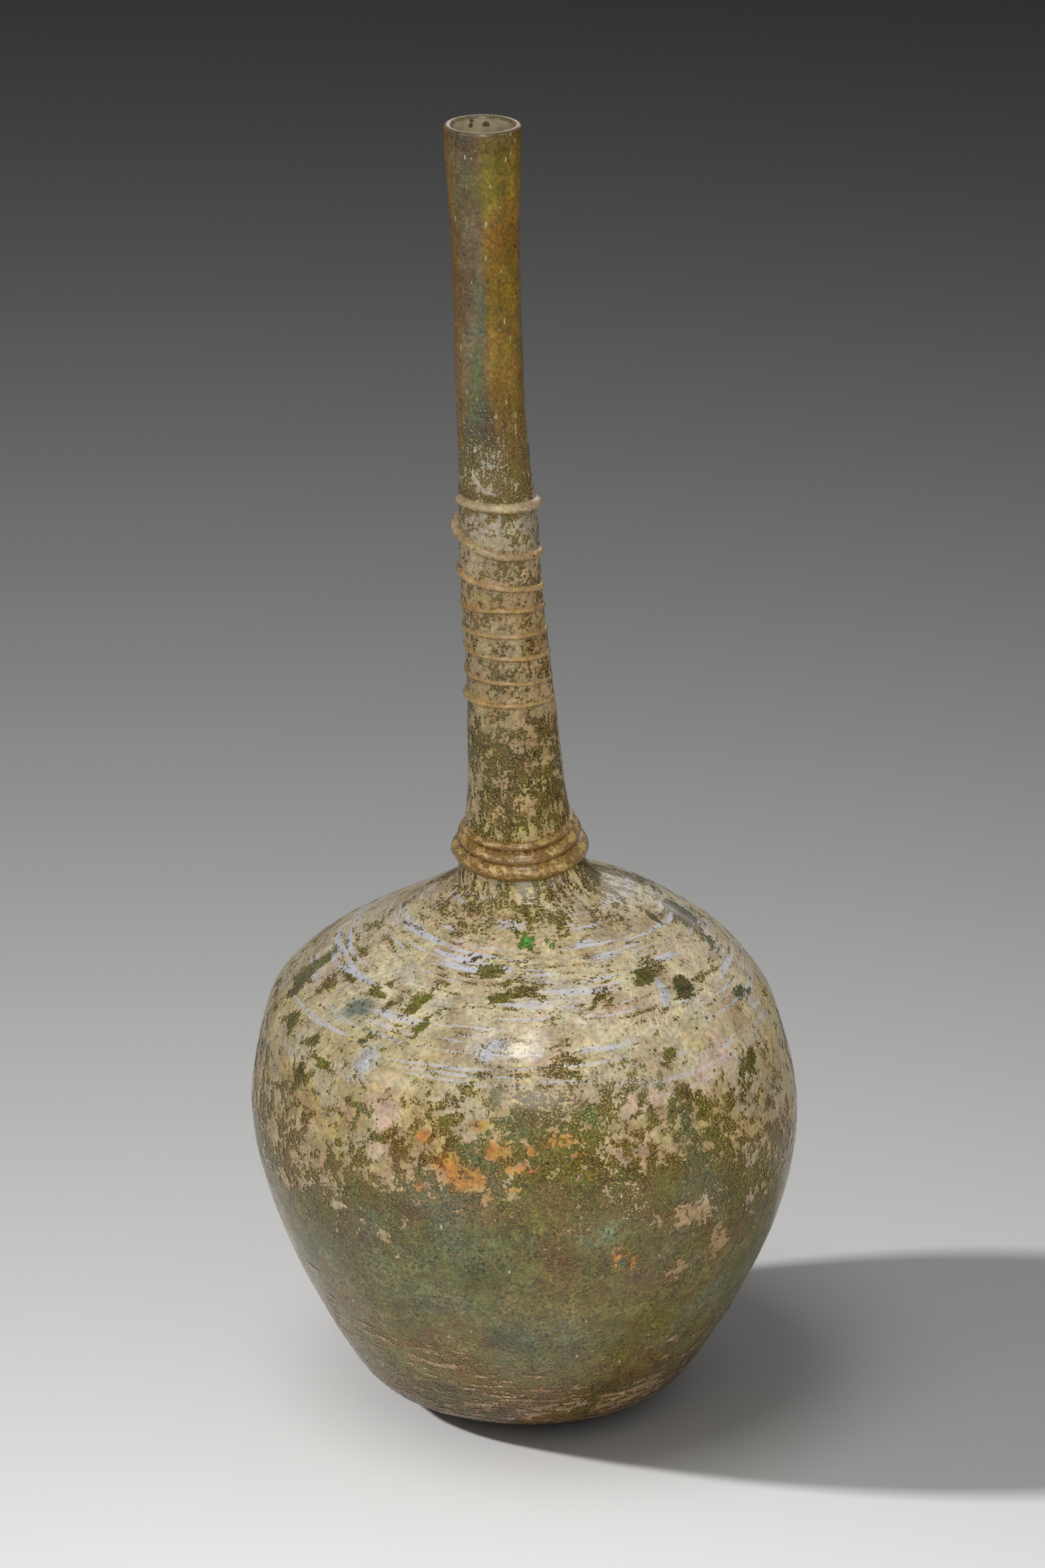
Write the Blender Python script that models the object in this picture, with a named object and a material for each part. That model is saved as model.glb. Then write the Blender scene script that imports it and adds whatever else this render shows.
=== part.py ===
"""A free-blown glass bottle with a pear-shaped body and a long neck that leans.

A thick thread of glass winds down the middle of the neck and thins as it goes. A heavier coil is
wound three times round the foot of the neck as a collar. Both were laid on hot, so they are fused
to the wall, and the whole bottle is one piece of glass. It is hollow, open at the mouth, and
stands on a flat ring round a shallow push-up in its base.

Metres, +Z up. The origin is under the middle of the body, at the height of the table. The side
seen in the photograph faces -Y, and the neck leans towards -X.
"""

import math

import bmesh
import bpy
from mathutils import Vector

# The body. Radii are to the outside of the glass.
BODY_HEIGHT = 0.1166
BODY_RADIUS = 0.0580
FOOT_RADIUS = 0.0228
PUSH_UP_RADIUS = 0.0150
PUSH_UP_DEPTH = 0.0024

# The neck, from its root on the shoulder up to the lip.
NECK_HEIGHT = 0.1634
ROOT_RADIUS = 0.0150
WAIST_RADIUS = 0.0070
LIP_RADIUS = 0.0079
LEAN = 0.0093

# The thickness of the glass.
BODY_WALL = 0.0018
NECK_WALL = 0.0015
BASE_WALL = 0.0036
LIP_ROUNDING = 0.0006

# The shares of the body's height where its wall stops being heavier and starts to thin again.
HEAVY_UP_TO = 0.25
THIN_FROM = 0.80

# The thread: how far its thickest turn stands out, and the stretch of neck that it winds down.
THREAD_THICKNESS = 0.0017
THREAD_SPAN = 0.0436
THREAD_ABOVE_ROOT = 0.0413

# The collar: how far its top and bottom coils stand out, and where it sits above the neck's root.
COLLAR_TOP_THICKNESS = 0.0007
COLLAR_BOTTOM_THICKNESS = 0.0023
COLLAR_SPAN = 0.0075
COLLAR_ABOVE_ROOT = 0.0061

# How deep the threads bite into the wall, as shares of its thickness: their middle line and back.
MIDDLE_SUNK = 0.20
BACK_SUNK = 0.65

# Half the height of a thread's section: a share of its thickness, and of what it stands out there.
THREAD_FLAT_HALF = 0.20
THREAD_ROUND_HALF = 0.55
COLLAR_FLAT_HALF = 0.40
COLLAR_ROUND_HALF = 0.95

# How finely the round forms are divided. The threads' segments a turn aren't whole numbers, so
# that their points never line up with the wall's or with those of the turn above.
ROUND_SEGMENTS = 36
BODY_STEPS = 2
NECK_STEPS = 2
THREAD_SEGMENTS_A_TURN = 18.6
THREAD_SIDES = 6
COLLAR_SEGMENTS_A_TURN = 24.6
COLLAR_SIDES = 8

# The push-up's dome and the floor above it, as shares: (how far out, how high).
PUSH_UP_BEND = (0.50, 0.75)
FLOOR_BEND = (0.60, 0.40)

# The blown outline of the body, from the foot up to the shoulder, as shares: height of
# BODY_HEIGHT, how far out between FOOT_RADIUS (0) and BODY_RADIUS (1), and how far the section's
# middle stands to +X, of BODY_RADIUS. The right shoulder stands a little higher than the left.
BODY_SHARES = (
    (0.000, 0.000, 0.042),
    (0.026, 0.196, 0.018),
    (0.069, 0.384, 0.009),
    (0.223, 0.679, 0.012),
    (0.395, 0.914, 0.012),
    (0.566, 1.000, 0.000),
    (0.738, 0.893, -0.010),
    (0.806, 0.765, -0.007),
    (0.866, 0.550, 0.020),
    (0.918, 0.278, 0.046),
    (0.961, 0.040, 0.050),
)

# The neck's outline as shares: height of NECK_HEIGHT, how far in between ROOT_RADIUS (0) and
# WAIST_RADIUS (1), and how much of LEAN it has gone.
NECK_SHARES = (
    (0.000, 0.000, 0.000),
    (0.024, 0.225, 0.140),
    (0.051, 0.350, 0.180),
    (0.092, 0.520, 0.225),
    (0.168, 0.663, 0.301),
    (0.305, 0.793, 0.462),
    (0.400, 0.834, 0.600),
    (0.498, 0.863, 0.677),
    (0.559, 0.957, 0.754),
    (0.663, 1.000, 0.843),
    (0.847, 1.000, 0.937),
)
LIP_START = 0.970
NECK_ROOT_ASIDE = 0.0008

# Where the thread crosses the left and then the right of the neck, turn by turn: height as a
# share of THREAD_SPAN, and how far it stands out as a share of THREAD_THICKNESS. It starts a
# small share of a turn after the first crossing.
THREAD_SHARES = (
    (1.000, 0.70),
    (0.966, 0.88),
    (0.846, 1.00),
    (0.720, 0.52),
    (0.635, 0.55),
    (0.550, 0.38),
    (0.466, 0.30),
    (0.450, 0.30),
    (0.351, 0.32),
    (0.335, 0.26),
    (0.257, 0.28),
    (0.220, 0.26),
    (0.133, 0.32),
    (0.092, 0.12),
    (0.007, 0.52),
    (0.000, 0.16),
)
THREAD_FIRST_TURN = 0.06

# Where the collar crosses the left, front, right and back of the neck, coil by coil, as shares of
# COLLAR_SPAN. It dips at the front, and its top coil climbs to the right.
COLLAR_SHARES = (
    0.773,
    0.693,
    1.000,
    0.920,
    0.573,
    0.347,
    0.720,
    0.600,
    0.120,
    0.000,
    0.240,
    0.360,
    0.100,
)

GLASS_COLOUR = (0.36, 0.33, 0.15, 1.0)
GLASS_ROUGHNESS = 0.22


def clear_scene():
    """Removes whatever the file holds, so that only the bottle is left."""
    for thing in list(bpy.data.objects):
        bpy.data.objects.remove(thing)


def smooth_value(before, start, end, after, t):
    """A value on the Catmull-Rom curve from start (t = 0) to end (t = 1)."""
    return 0.5 * (
        2 * start
        + (end - before) * t
        + (2 * before - 5 * start + 4 * end - after) * t**2
        + (3 * start - before - 3 * end + after) * t**3
    )


def with_ends(points):
    """The points with one more at each end, so that a smooth curve reaches the first and last."""
    return [2 * points[0] - points[1], *points, 2 * points[-1] - points[-2]]


def smooth_through(points, steps):
    """Points on a smooth curve through the given ones, so many steps from each to the next."""
    ends = with_ends(points)
    curve = []
    for quad in zip(ends, ends[1:], ends[2:], ends[3:]):
        curve += [smooth_value(*quad, step / steps) for step in range(steps)]
    curve.append(points[-1].copy())
    return curve


def smooth_read(points, place):
    """The smooth curve through the points, read at a place such as 2.5, halfway from 2 to 3."""
    first = min(int(place), len(points) - 2)
    return smooth_value(*with_ends(points)[first : first + 4], place - first)


def outer_stations():
    """The outside of the glass from foot to lip, as vectors of radius, height and place aside."""
    body = [
        Vector(
            (
                FOOT_RADIUS + out * (BODY_RADIUS - FOOT_RADIUS),
                up * BODY_HEIGHT,
                aside * BODY_RADIUS,
            )
        )
        for up, out, aside in BODY_SHARES
    ]
    neck = [
        Vector(
            (
                ROOT_RADIUS + inward * (WAIST_RADIUS - ROOT_RADIUS),
                BODY_HEIGHT + up * NECK_HEIGHT,
                NECK_ROOT_ASIDE - gone * LEAN,
            )
        )
        for up, inward, gone in NECK_SHARES
    ]
    lip_height = BODY_HEIGHT + LIP_START * NECK_HEIGHT
    lip = Vector((LIP_RADIUS, lip_height, NECK_ROOT_ASIDE - LEAN))
    body_curve = smooth_through([*body, neck[0]], BODY_STEPS)
    neck_curve = smooth_through([*neck, lip], NECK_STEPS)
    return body_curve + neck_curve[1:]


def station_at(stations, height):
    """The outside of the glass at a height, as a vector like those of outer_stations."""
    for low, high in zip(stations, stations[1:]):
        if height <= high.y:
            return low.lerp(high, max(0.0, (height - low.y) / (high.y - low.y)))
    return stations[-1]


def wall_at(height):
    """Thickness of the glass: heavy at the base, thinner up the body, and even in the neck."""
    up = height / BODY_HEIGHT
    near_base = max(0.0, 1 - up / HEAVY_UP_TO) ** 2
    near_neck = min(1.0, max(0.0, (up - THIN_FROM) / (1 - THIN_FROM)))
    wall = BODY_WALL + near_base * (BASE_WALL - BODY_WALL)
    return wall + near_neck * (NECK_WALL - BODY_WALL)


def inner_profile(stations):
    """The inside of the glass as (radius, height), from the rim of its floor up into the mouth."""
    inside = []
    floor = BASE_WALL + PUSH_UP_DEPTH / 2
    for before, here, after in zip(stations[::2], stations[1::2], stations[2::2]):
        along = Vector((after.x - before.x, after.y - before.y)).normalized()
        wall = wall_at(here.y)
        radius = here.x - wall * along.y
        height = here.y + wall * along.x
        if height > floor:
            inside.append((radius, height))
            floor = height
    return inside


def bottle_profile(stations):
    """The section: from under the push-up out and up to the lip, then down the inside."""
    top = BODY_HEIGHT + NECK_HEIGHT
    bore = LIP_RADIUS - NECK_WALL
    section = [
        (0.0, PUSH_UP_DEPTH),
        (PUSH_UP_BEND[0] * PUSH_UP_RADIUS, PUSH_UP_BEND[1] * PUSH_UP_DEPTH),
        (PUSH_UP_RADIUS, 0.0),
    ]
    section += [(station.x, station.y) for station in stations]
    section += [
        (LIP_RADIUS - 0.2 * LIP_ROUNDING, top - LIP_ROUNDING),
        (LIP_RADIUS - LIP_ROUNDING, top),
        (bore + 0.4 * LIP_ROUNDING, top),
        (bore, top - LIP_ROUNDING),
    ]
    inside = inner_profile(stations)
    section += reversed(inside)
    section += [
        (FLOOR_BEND[0] * inside[0][0], BASE_WALL + FLOOR_BEND[1] * PUSH_UP_DEPTH),
        (0.0, BASE_WALL + PUSH_UP_DEPTH),
    ]
    return section


def join_rings(mesh, lower, upper):
    """Faces between two rings, or between a ring and the single point that closes it."""
    count = max(len(lower), len(upper))
    for here in range(count):
        there = (here + 1) % count
        if len(lower) == 1:
            mesh.faces.new((lower[0], upper[there], upper[here]))
        elif len(upper) == 1:
            mesh.faces.new((lower[here], lower[there], upper[0]))
        else:
            mesh.faces.new((lower[here], lower[there], upper[there], upper[here]))


def turned_mesh(profile, stations):
    """The section turned about the bottle's middle line, which wanders and then leans."""
    mesh = bmesh.new()
    rings = []
    for radius, height in profile:
        middle = station_at(stations, height).z
        count = ROUND_SEGMENTS if radius > 0 else 1
        ring = []
        for segment in range(count):
            angle = math.tau * segment / count
            x = middle + radius * math.cos(angle)
            ring.append(mesh.verts.new((x, radius * math.sin(angle), height)))
        rings.append(ring)
    for lower, upper in zip(rings, rings[1:]):
        join_rings(mesh, lower, upper)
    return mesh


def on_wall(stations, angle, height, out):
    """The point at an angle round the bottle and a height, so far out from the wall's outside."""
    wall = station_at(stations, height)
    radius = wall.x + out
    return Vector((wall.z + radius * math.cos(angle), radius * math.sin(angle), height))


def wound_tube(stations, line, sides):
    """A tube fused round the neck, with rounded ends.

    Each entry of line is an angle round the neck, a height, how far the tube stands out there and
    half its height. The tube's back stays inside the wall, so that it never shows in the bore.
    """
    mesh = bmesh.new()
    rings = []
    middles = []
    for angle, height, proud, half_height in line:
        sunk = MIDDLE_SUNK * NECK_WALL
        ring = []
        for side in range(sides):
            turn = math.tau * side / sides
            reach = proud + sunk if math.cos(turn) > 0 else BACK_SUNK * NECK_WALL
            up = height + half_height * math.sin(turn)
            out = reach * math.cos(turn) - sunk
            ring.append(mesh.verts.new(on_wall(stations, angle, up, out)))
        rings.append(ring)
        middles.append((on_wall(stations, angle, height, -sunk), half_height))
    (first, first_half), (second, _) = middles[:2]
    (before_last, _), (last, last_half) = middles[-2:]
    tip = first + first_half * (first - second).normalized()
    tail = last + last_half * (last - before_last).normalized()
    rings = [[mesh.verts.new(tip)], *rings, [mesh.verts.new(tail)]]
    for lower, upper in zip(rings, rings[1:]):
        join_rings(mesh, lower, upper)
    return mesh


def object_from(mesh, name):
    """Puts a mesh into the scene as an object with its faces turned outwards."""
    bmesh.ops.recalc_face_normals(mesh, faces=mesh.faces)
    data = bpy.data.meshes.new(name)
    mesh.to_mesh(data)
    mesh.free()
    made = bpy.data.objects.new(name, data)
    bpy.context.scene.collection.objects.link(made)
    return made


def neck_thread(stations):
    """The thread down the neck, from its blunt free end at the left to where it peters out."""
    crossings = [Vector(crossing) for crossing in THREAD_SHARES]
    last_turn = (len(crossings) - 1) / 2
    count = math.ceil((last_turn - THREAD_FIRST_TURN) * THREAD_SEGMENTS_A_TURN)
    line = []
    for step in range(count + 1):
        turn = THREAD_FIRST_TURN + (last_turn - THREAD_FIRST_TURN) * step / count
        up, thickness = smooth_read(crossings, 2 * turn)
        height = BODY_HEIGHT + THREAD_ABOVE_ROOT + up * THREAD_SPAN
        proud = thickness * THREAD_THICKNESS
        half_height = THREAD_FLAT_HALF * THREAD_THICKNESS + THREAD_ROUND_HALF * proud
        line.append((math.pi + math.tau * turn, height, proud, half_height))
    return object_from(wound_tube(stations, line, THREAD_SIDES), "thread_to_fuse")


def neck_collar(stations):
    """The collar's coils, which get heavier and stand out further on the way down."""
    crossings = [Vector((crossing, 0)) for crossing in COLLAR_SHARES]
    turns = (len(crossings) - 1) / 4
    count = math.ceil(turns * COLLAR_SEGMENTS_A_TURN)
    line = []
    for step in range(count + 1):
        share = step / count
        up = smooth_read(crossings, share * (len(crossings) - 1)).x
        height = BODY_HEIGHT + COLLAR_ABOVE_ROOT + up * COLLAR_SPAN
        heavier = share * (COLLAR_BOTTOM_THICKNESS - COLLAR_TOP_THICKNESS)
        proud = COLLAR_TOP_THICKNESS + heavier
        half_height = COLLAR_FLAT_HALF * COLLAR_TOP_THICKNESS + COLLAR_ROUND_HALF * proud
        line.append((math.pi + math.tau * turns * share, height, proud, half_height))
    return object_from(wound_tube(stations, line, COLLAR_SIDES), "collar_to_fuse")


def fuse(bottle, addition):
    """Joins a thread of glass to the bottle, and hides the loose copy."""
    join = bottle.modifiers.new(addition.name, "BOOLEAN")
    join.operation = "UNION"
    join.solver = "EXACT"
    join.use_self = True
    join.object = addition
    addition.hide_render = True
    addition.display_type = "WIRE"


def glass_material():
    """Old green glass, dulled by its weathering."""
    material = bpy.data.materials.new("weathered_glass")
    material.use_nodes = True
    shader = material.node_tree.nodes["Principled BSDF"]
    shader.inputs["Base Color"].default_value = GLASS_COLOUR
    shader.inputs["Roughness"].default_value = GLASS_ROUGHNESS
    shader.inputs["Metallic"].default_value = 0.0
    return material


def main():
    """Builds the bottle."""
    clear_scene()
    stations = outer_stations()
    bottle = object_from(turned_mesh(bottle_profile(stations), stations), "bottle")
    bottle.data.materials.append(glass_material())
    bottle.data.shade_smooth()
    fuse(bottle, neck_collar(stations))
    fuse(bottle, neck_thread(stations))


main()
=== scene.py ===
"""A free-blown glass bottle, dressed as the ground left it.

Tinted glass lies under a mottled film and a patchy crust of weathering. The wall is one closed
shell with a real thickness. The crust is a thin skin just outside it, open wherever it has flaked
away, and the thread and the collar are ropes of glass laid round the neck.

Metres, +Z up. The side that the camera sees faces -Y. An azimuth is measured in degrees from that
side, and grows towards +X.
"""

from __future__ import annotations

import logging
import math
from collections.abc import Iterator
from dataclasses import dataclass, field, replace
from enum import Enum, IntEnum
from functools import cached_property

import bmesh
import bpy
import numpy as np
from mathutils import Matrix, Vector, noise


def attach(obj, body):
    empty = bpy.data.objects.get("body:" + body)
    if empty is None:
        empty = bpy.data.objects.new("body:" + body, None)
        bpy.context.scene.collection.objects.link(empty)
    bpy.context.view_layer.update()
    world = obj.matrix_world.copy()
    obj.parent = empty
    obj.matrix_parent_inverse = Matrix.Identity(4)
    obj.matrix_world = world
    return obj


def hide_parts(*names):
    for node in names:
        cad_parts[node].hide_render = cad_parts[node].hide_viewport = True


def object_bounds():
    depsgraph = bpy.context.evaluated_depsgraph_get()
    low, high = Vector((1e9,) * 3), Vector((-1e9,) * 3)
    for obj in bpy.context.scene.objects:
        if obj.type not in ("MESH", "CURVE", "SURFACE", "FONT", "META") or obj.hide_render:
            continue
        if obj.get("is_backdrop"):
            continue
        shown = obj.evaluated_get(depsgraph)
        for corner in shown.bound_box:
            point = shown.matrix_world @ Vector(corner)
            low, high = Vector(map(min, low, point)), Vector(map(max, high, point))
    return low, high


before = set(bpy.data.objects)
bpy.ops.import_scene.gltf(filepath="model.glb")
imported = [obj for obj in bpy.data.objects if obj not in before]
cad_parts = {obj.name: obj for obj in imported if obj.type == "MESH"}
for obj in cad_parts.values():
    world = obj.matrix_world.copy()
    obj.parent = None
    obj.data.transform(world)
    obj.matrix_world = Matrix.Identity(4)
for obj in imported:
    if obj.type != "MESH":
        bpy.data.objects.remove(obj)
CAD_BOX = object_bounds()

LOG = logging.getLogger("bottle")
MM = 0.001
Colour = tuple[float, float, float]
Socket = bpy.types.NodeSocket


class Body(Enum):
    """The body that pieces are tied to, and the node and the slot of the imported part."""

    ROOT = "root"
    NODE = "bottle"
    SLOT = "weathered_glass"


class WallPart(IntEnum):
    """The stretches of the wall, in the order of their materials."""

    BODY = 0
    LINING = 1
    UPPER_NECK = 2


class Kind(Enum):
    """What a mark is: glass laid bare, more crust, a coloured film, or a flush in the crust; one
    flush is a painted highlight.
    """

    BARE = "bare"
    CRUST = "crust"
    FILM = "film"
    FLUSH = "flush"


# Forms


def smooth_between(before: float, start: float, end: float, after: float, t: float) -> float:
    """Reads a Catmull-Rom curve between two of its points.

    Args:
        before: The value before start.
        start: The value at t = 0.
        end: The value at t = 1.
        after: The value after end.
        t: The place between start and end.

    Returns:
        The value at t.
    """
    return 0.5 * (
        2 * start
        + (end - before) * t
        + (2 * before - 5 * start + 4 * end - after) * t**2
        + (3 * start - before - 3 * end + after) * t**3
    )


def run_on(points: np.ndarray) -> np.ndarray:
    """Adds a straight step before the first point and after the last."""
    return np.concatenate([[2 * points[0] - points[1]], points, [2 * points[-1] - points[-2]]])


def smooth_line(points: np.ndarray, steps: int) -> np.ndarray:
    """Draws a smooth line through points.

    Args:
        points: One row for each point.
        steps: How many steps to take from each point to the next.

    Returns:
        One row for each point of the line, the first and last given points among them.
    """
    longer = run_on(points)
    line = [
        smooth_between(*longer[i : i + 4], step / steps)
        for i in range(len(points) - 1)
        for step in range(steps)
    ]
    return np.vstack([*line, points[-1]])


def read_quarters(values: np.ndarray, turn: float) -> np.ndarray:
    """Reads a smooth curve through values that are given at each quarter of a turn.

    Args:
        values: A value or a row for each quarter.
        turn: How many turns from the first value to read it.

    Returns:
        The value or the row there.
    """
    place = 4 * turn
    first = min(int(place), len(values) - 2)
    return smooth_between(*run_on(values)[first : first + 4], place - first)


def evenly(line: np.ndarray, spacing: float) -> np.ndarray:
    """Spreads points evenly along a line.

    Args:
        line: One row for each point: radius, height and place aside.
        spacing: The distance to keep, measured in radius and height.

    Returns:
        Rows like those of line, from its first to its last.
    """
    along = np.append(0, np.cumsum(np.hypot(*np.diff(line[:, :2], axis=0).T)))
    places = np.linspace(0, along[-1], max(2, round(along[-1] / spacing) + 1))
    return np.stack([np.interp(places, along, column) for column in line.T], axis=1)


def cloud(points: np.ndarray, size: float, octaves: int = 3, shift: float = 0.0) -> np.ndarray:
    """Reads smooth noise at points.

    Args:
        points: Places in metres.
        size: The size of the largest lumps.
        octaves: How many layers there are, each with lumps half the size of the last.
        shift: How far away to read it, so that two noises differ.

    Returns:
        A value for each point, mostly between -1 and 1.
    """
    places = (points + shift) / size
    return np.array([noise.fractal(Vector(place), 1.0, 2.0, octaves) for place in places])


def turn_from(middle: float, azimuth: np.ndarray) -> np.ndarray:
    """How far azimuths lie from a middle one, from -180 to 180 degrees."""
    return (azimuth - middle + 180) % 360 - 180


def lay(colour: np.ndarray, tint: Colour, share: np.ndarray) -> np.ndarray:
    """Lays a tint over colours.

    Args:
        colour: One row of red, green and blue for each place.
        tint: The colour to lay.
        share: How much of it to lay at each place.

    Returns:
        The new colours.
    """
    return colour + share[:, None] * (np.array(tint) - colour)


def solid(colour: Colour) -> tuple[float, float, float, float]:
    """The colour with a fourth value of 1, as sockets take it."""
    return (*colour, 1.0)


@dataclass(frozen=True)
class BlownForm:
    """The outside of the glass, as rings about a middle line that wanders and then leans."""

    body_height: float = 0.1166
    body_radius: float = 0.0580
    foot_radius: float = 0.0228
    push_up_radius: float = 0.0150
    push_up_depth: float = 0.0024
    neck_height: float = 0.1634
    root_radius: float = 0.0150
    waist_radius: float = 0.0070
    lip_radius: float = 0.0079
    lip_rounding: float = 0.0006
    lip_start: float = 0.970
    root_aside: float = 0.0008
    lean: float = 0.0093
    body_wall: float = 0.0018
    neck_wall: float = 0.0015
    heel_wall: float = 0.0022
    base_wall: float = 0.0036
    curve_steps: int = 16
    # Shares of body_height, of foot_radius to body_radius, and of body_radius to +X.
    body_shares: tuple[tuple[float, float, float], ...] = (
        (0.000, 0.000, 0.042),
        (0.026, 0.196, 0.018),
        (0.069, 0.384, 0.009),
        (0.223, 0.679, 0.012),
        (0.395, 0.914, 0.012),
        (0.566, 1.000, 0.000),
        (0.738, 0.893, -0.010),
        (0.806, 0.765, -0.007),
        (0.866, 0.550, 0.020),
        (0.918, 0.278, 0.046),
        (0.961, 0.040, 0.050),
    )
    # Shares of neck_height, of root_radius to waist_radius, and of lean.
    neck_shares: tuple[tuple[float, float, float], ...] = (
        (0.000, 0.000, 0.000),
        (0.024, 0.225, 0.140),
        (0.051, 0.350, 0.180),
        (0.092, 0.520, 0.225),
        (0.168, 0.663, 0.301),
        (0.305, 0.793, 0.462),
        (0.400, 0.834, 0.600),
        (0.498, 0.863, 0.677),
        (0.559, 0.957, 0.754),
        (0.663, 1.000, 0.843),
        (0.847, 1.000, 0.937),
    )

    @property
    def top(self) -> float:
        """The height of the lip."""
        return self.body_height + self.neck_height

    @cached_property
    def outside(self) -> np.ndarray:
        """Draws the outside from the foot to where the lip starts to round.

        Returns:
            Rows of radius, height and place aside.
        """
        up, out, aside = np.array(self.body_shares).T
        body = np.stack(
            [
                self.foot_radius + out * (self.body_radius - self.foot_radius),
                up * self.body_height,
                aside * self.body_radius,
            ],
            axis=1,
        )
        up, inward, gone = np.array(self.neck_shares).T
        neck = np.stack(
            [
                self.root_radius + inward * (self.waist_radius - self.root_radius),
                self.body_height + up * self.neck_height,
                self.root_aside - gone * self.lean,
            ],
            axis=1,
        )
        lip_height = self.body_height + self.lip_start * self.neck_height
        lip = np.array([[self.lip_radius, lip_height, self.root_aside - self.lean]])
        lower = smooth_line(np.vstack([body, neck[:1]]), self.curve_steps)
        upper = smooth_line(np.vstack([neck, lip]), self.curve_steps)
        return np.vstack([lower, upper[1:]])

    @cached_property
    def way(self) -> np.ndarray:
        """The way along the outside to each of its rows from the foot."""
        return np.append(0, np.cumsum(np.hypot(*np.diff(self.outside[:, :2], axis=0).T)))

    def wall(self, height: np.ndarray) -> np.ndarray:
        """Reads how thick the glass is: heavy at the base and thin in the neck.

        Args:
            height: Heights on the outside.

        Returns:
            The thickness at each height.
        """
        shares = (0.0, 0.12, 0.25, 0.80, 1.0)
        walls = (self.base_wall, self.heel_wall, self.body_wall, self.body_wall, self.neck_wall)
        return np.interp(height / self.body_height, shares, walls)

    def inside(self) -> np.ndarray:
        """Draws the inside from the rim of the floor up to the mouth.

        Returns:
            Rows of radius, height and place aside, each higher than the last.
        """
        line = self.outside
        across, up = np.gradient(line[:, 0]), np.gradient(line[:, 1])
        along = np.hypot(across, up)
        wall = self.wall(line[:, 1])
        radius = line[:, 0] - wall * up / along
        height = line[:, 1] + wall * across / along
        floor = self.base_wall + self.push_up_depth / 2
        rows = []
        for row in zip(radius, height, line[:, 2]):
            if row[1] > floor:
                rows.append(row)
                floor = row[1]
        return np.array(rows)


class RingMesh:
    """Rings of points, each joined to the next. A ring of one point closes an end."""

    def __init__(self) -> None:
        """Starts with no rings."""
        self.rings: list[np.ndarray] = []
        self.slots: list[int] = []

    def add(self, ring: np.ndarray, slot: int = 0) -> None:
        """Adds a ring of points, and the slot of the faces between it and the ring before."""
        self.rings.append(ring)
        self.slots.append(slot)

    def close_ends(self) -> None:
        """Closes both ends with a point in the middle of the first ring and of the last."""
        first, last = (self.rings[end].mean(axis=0)[None] for end in (0, -1))
        self.rings = [first, *self.rings, last]
        self.slots = [0, *self.slots, 0]

    @staticmethod
    def between(low: range, high: range) -> list[tuple[int, ...]]:
        """Lists the faces between two rings.

        Args:
            low: The numbers of the points in one ring.
            high: The numbers in the next: as many, half as many, twice as many, or one.

        Returns:
            The faces, as tuples of points.
        """
        count = max(len(low), len(high))
        faces = []
        for here in range(count):
            there = (here + 1) % count
            corners = (
                low[here * len(low) // count],
                low[there * len(low) // count],
                high[there * len(high) // count],
                high[here * len(high) // count],
            )
            face = tuple(dict.fromkeys(corners))
            if len(face) > 2:
                faces.append(face)
        return faces

    def make(self, name: str, materials: list[bpy.types.Material]) -> bpy.types.Object:
        """Turns the rings into an object with its faces outwards.

        Args:
            name: The object's name.
            materials: One for each slot.

        Returns:
            The object, linked to the scene.
        """
        starts = np.append(0, np.cumsum([len(ring) for ring in self.rings]))
        spans = [range(a, b) for a, b in zip(starts, starts[1:])]
        faces, slots = [], []
        for low, high, slot in zip(spans, spans[1:], self.slots[1:]):
            new = self.between(low, high)
            faces += new
            slots += [slot] * len(new)
        data = bpy.data.meshes.new(name)
        data.from_pydata(np.vstack(self.rings).tolist(), [], faces)
        for material in materials:
            data.materials.append(material)
        data.polygons.foreach_set("material_index", slots)
        shell = bmesh.new()
        shell.from_mesh(data)
        bmesh.ops.recalc_face_normals(shell, faces=shell.faces)
        shell.to_mesh(data)
        shell.free()
        data.shade_smooth()
        made = bpy.data.objects.new(name, data)
        bpy.context.scene.collection.objects.link(made)
        return made


def circle(count: int) -> np.ndarray:
    """Angles of a ring's points, in radians, from +X."""
    return np.arange(count) * math.tau / count


def ring_at(row: np.ndarray, angles: np.ndarray, out: np.ndarray | float = 0.0) -> np.ndarray:
    """Places a ring.

    Args:
        row: Its radius, height and place aside.
        angles: The angles of its points.
        out: How much further out each point stands.

    Returns:
        The points.
    """
    radius, height, aside = row
    reach = radius + out + np.zeros_like(angles)
    x, y = aside + reach * np.cos(angles), reach * np.sin(angles)
    return np.stack([x, y, np.full_like(angles, height)], axis=1)


# Weathering


@dataclass(frozen=True)
class Mark:
    """A patch on the glass: where it is, its size across and along the wall, and its kind."""

    kind: Kind
    azimuth: float
    height_mm: float
    across_mm: float
    along_mm: float
    colour: Colour = (0.0, 0.0, 0.0)
    strength: float = 1.0
    tilt: float = 0.0


@dataclass(frozen=True)
class Streak:
    """A long streak in the neck's film: its colour, its place, its half sizes and its strength."""

    colour: Colour
    azimuth: float
    half_degrees: float
    height_mm: float
    half_mm: float
    strength: float


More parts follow.
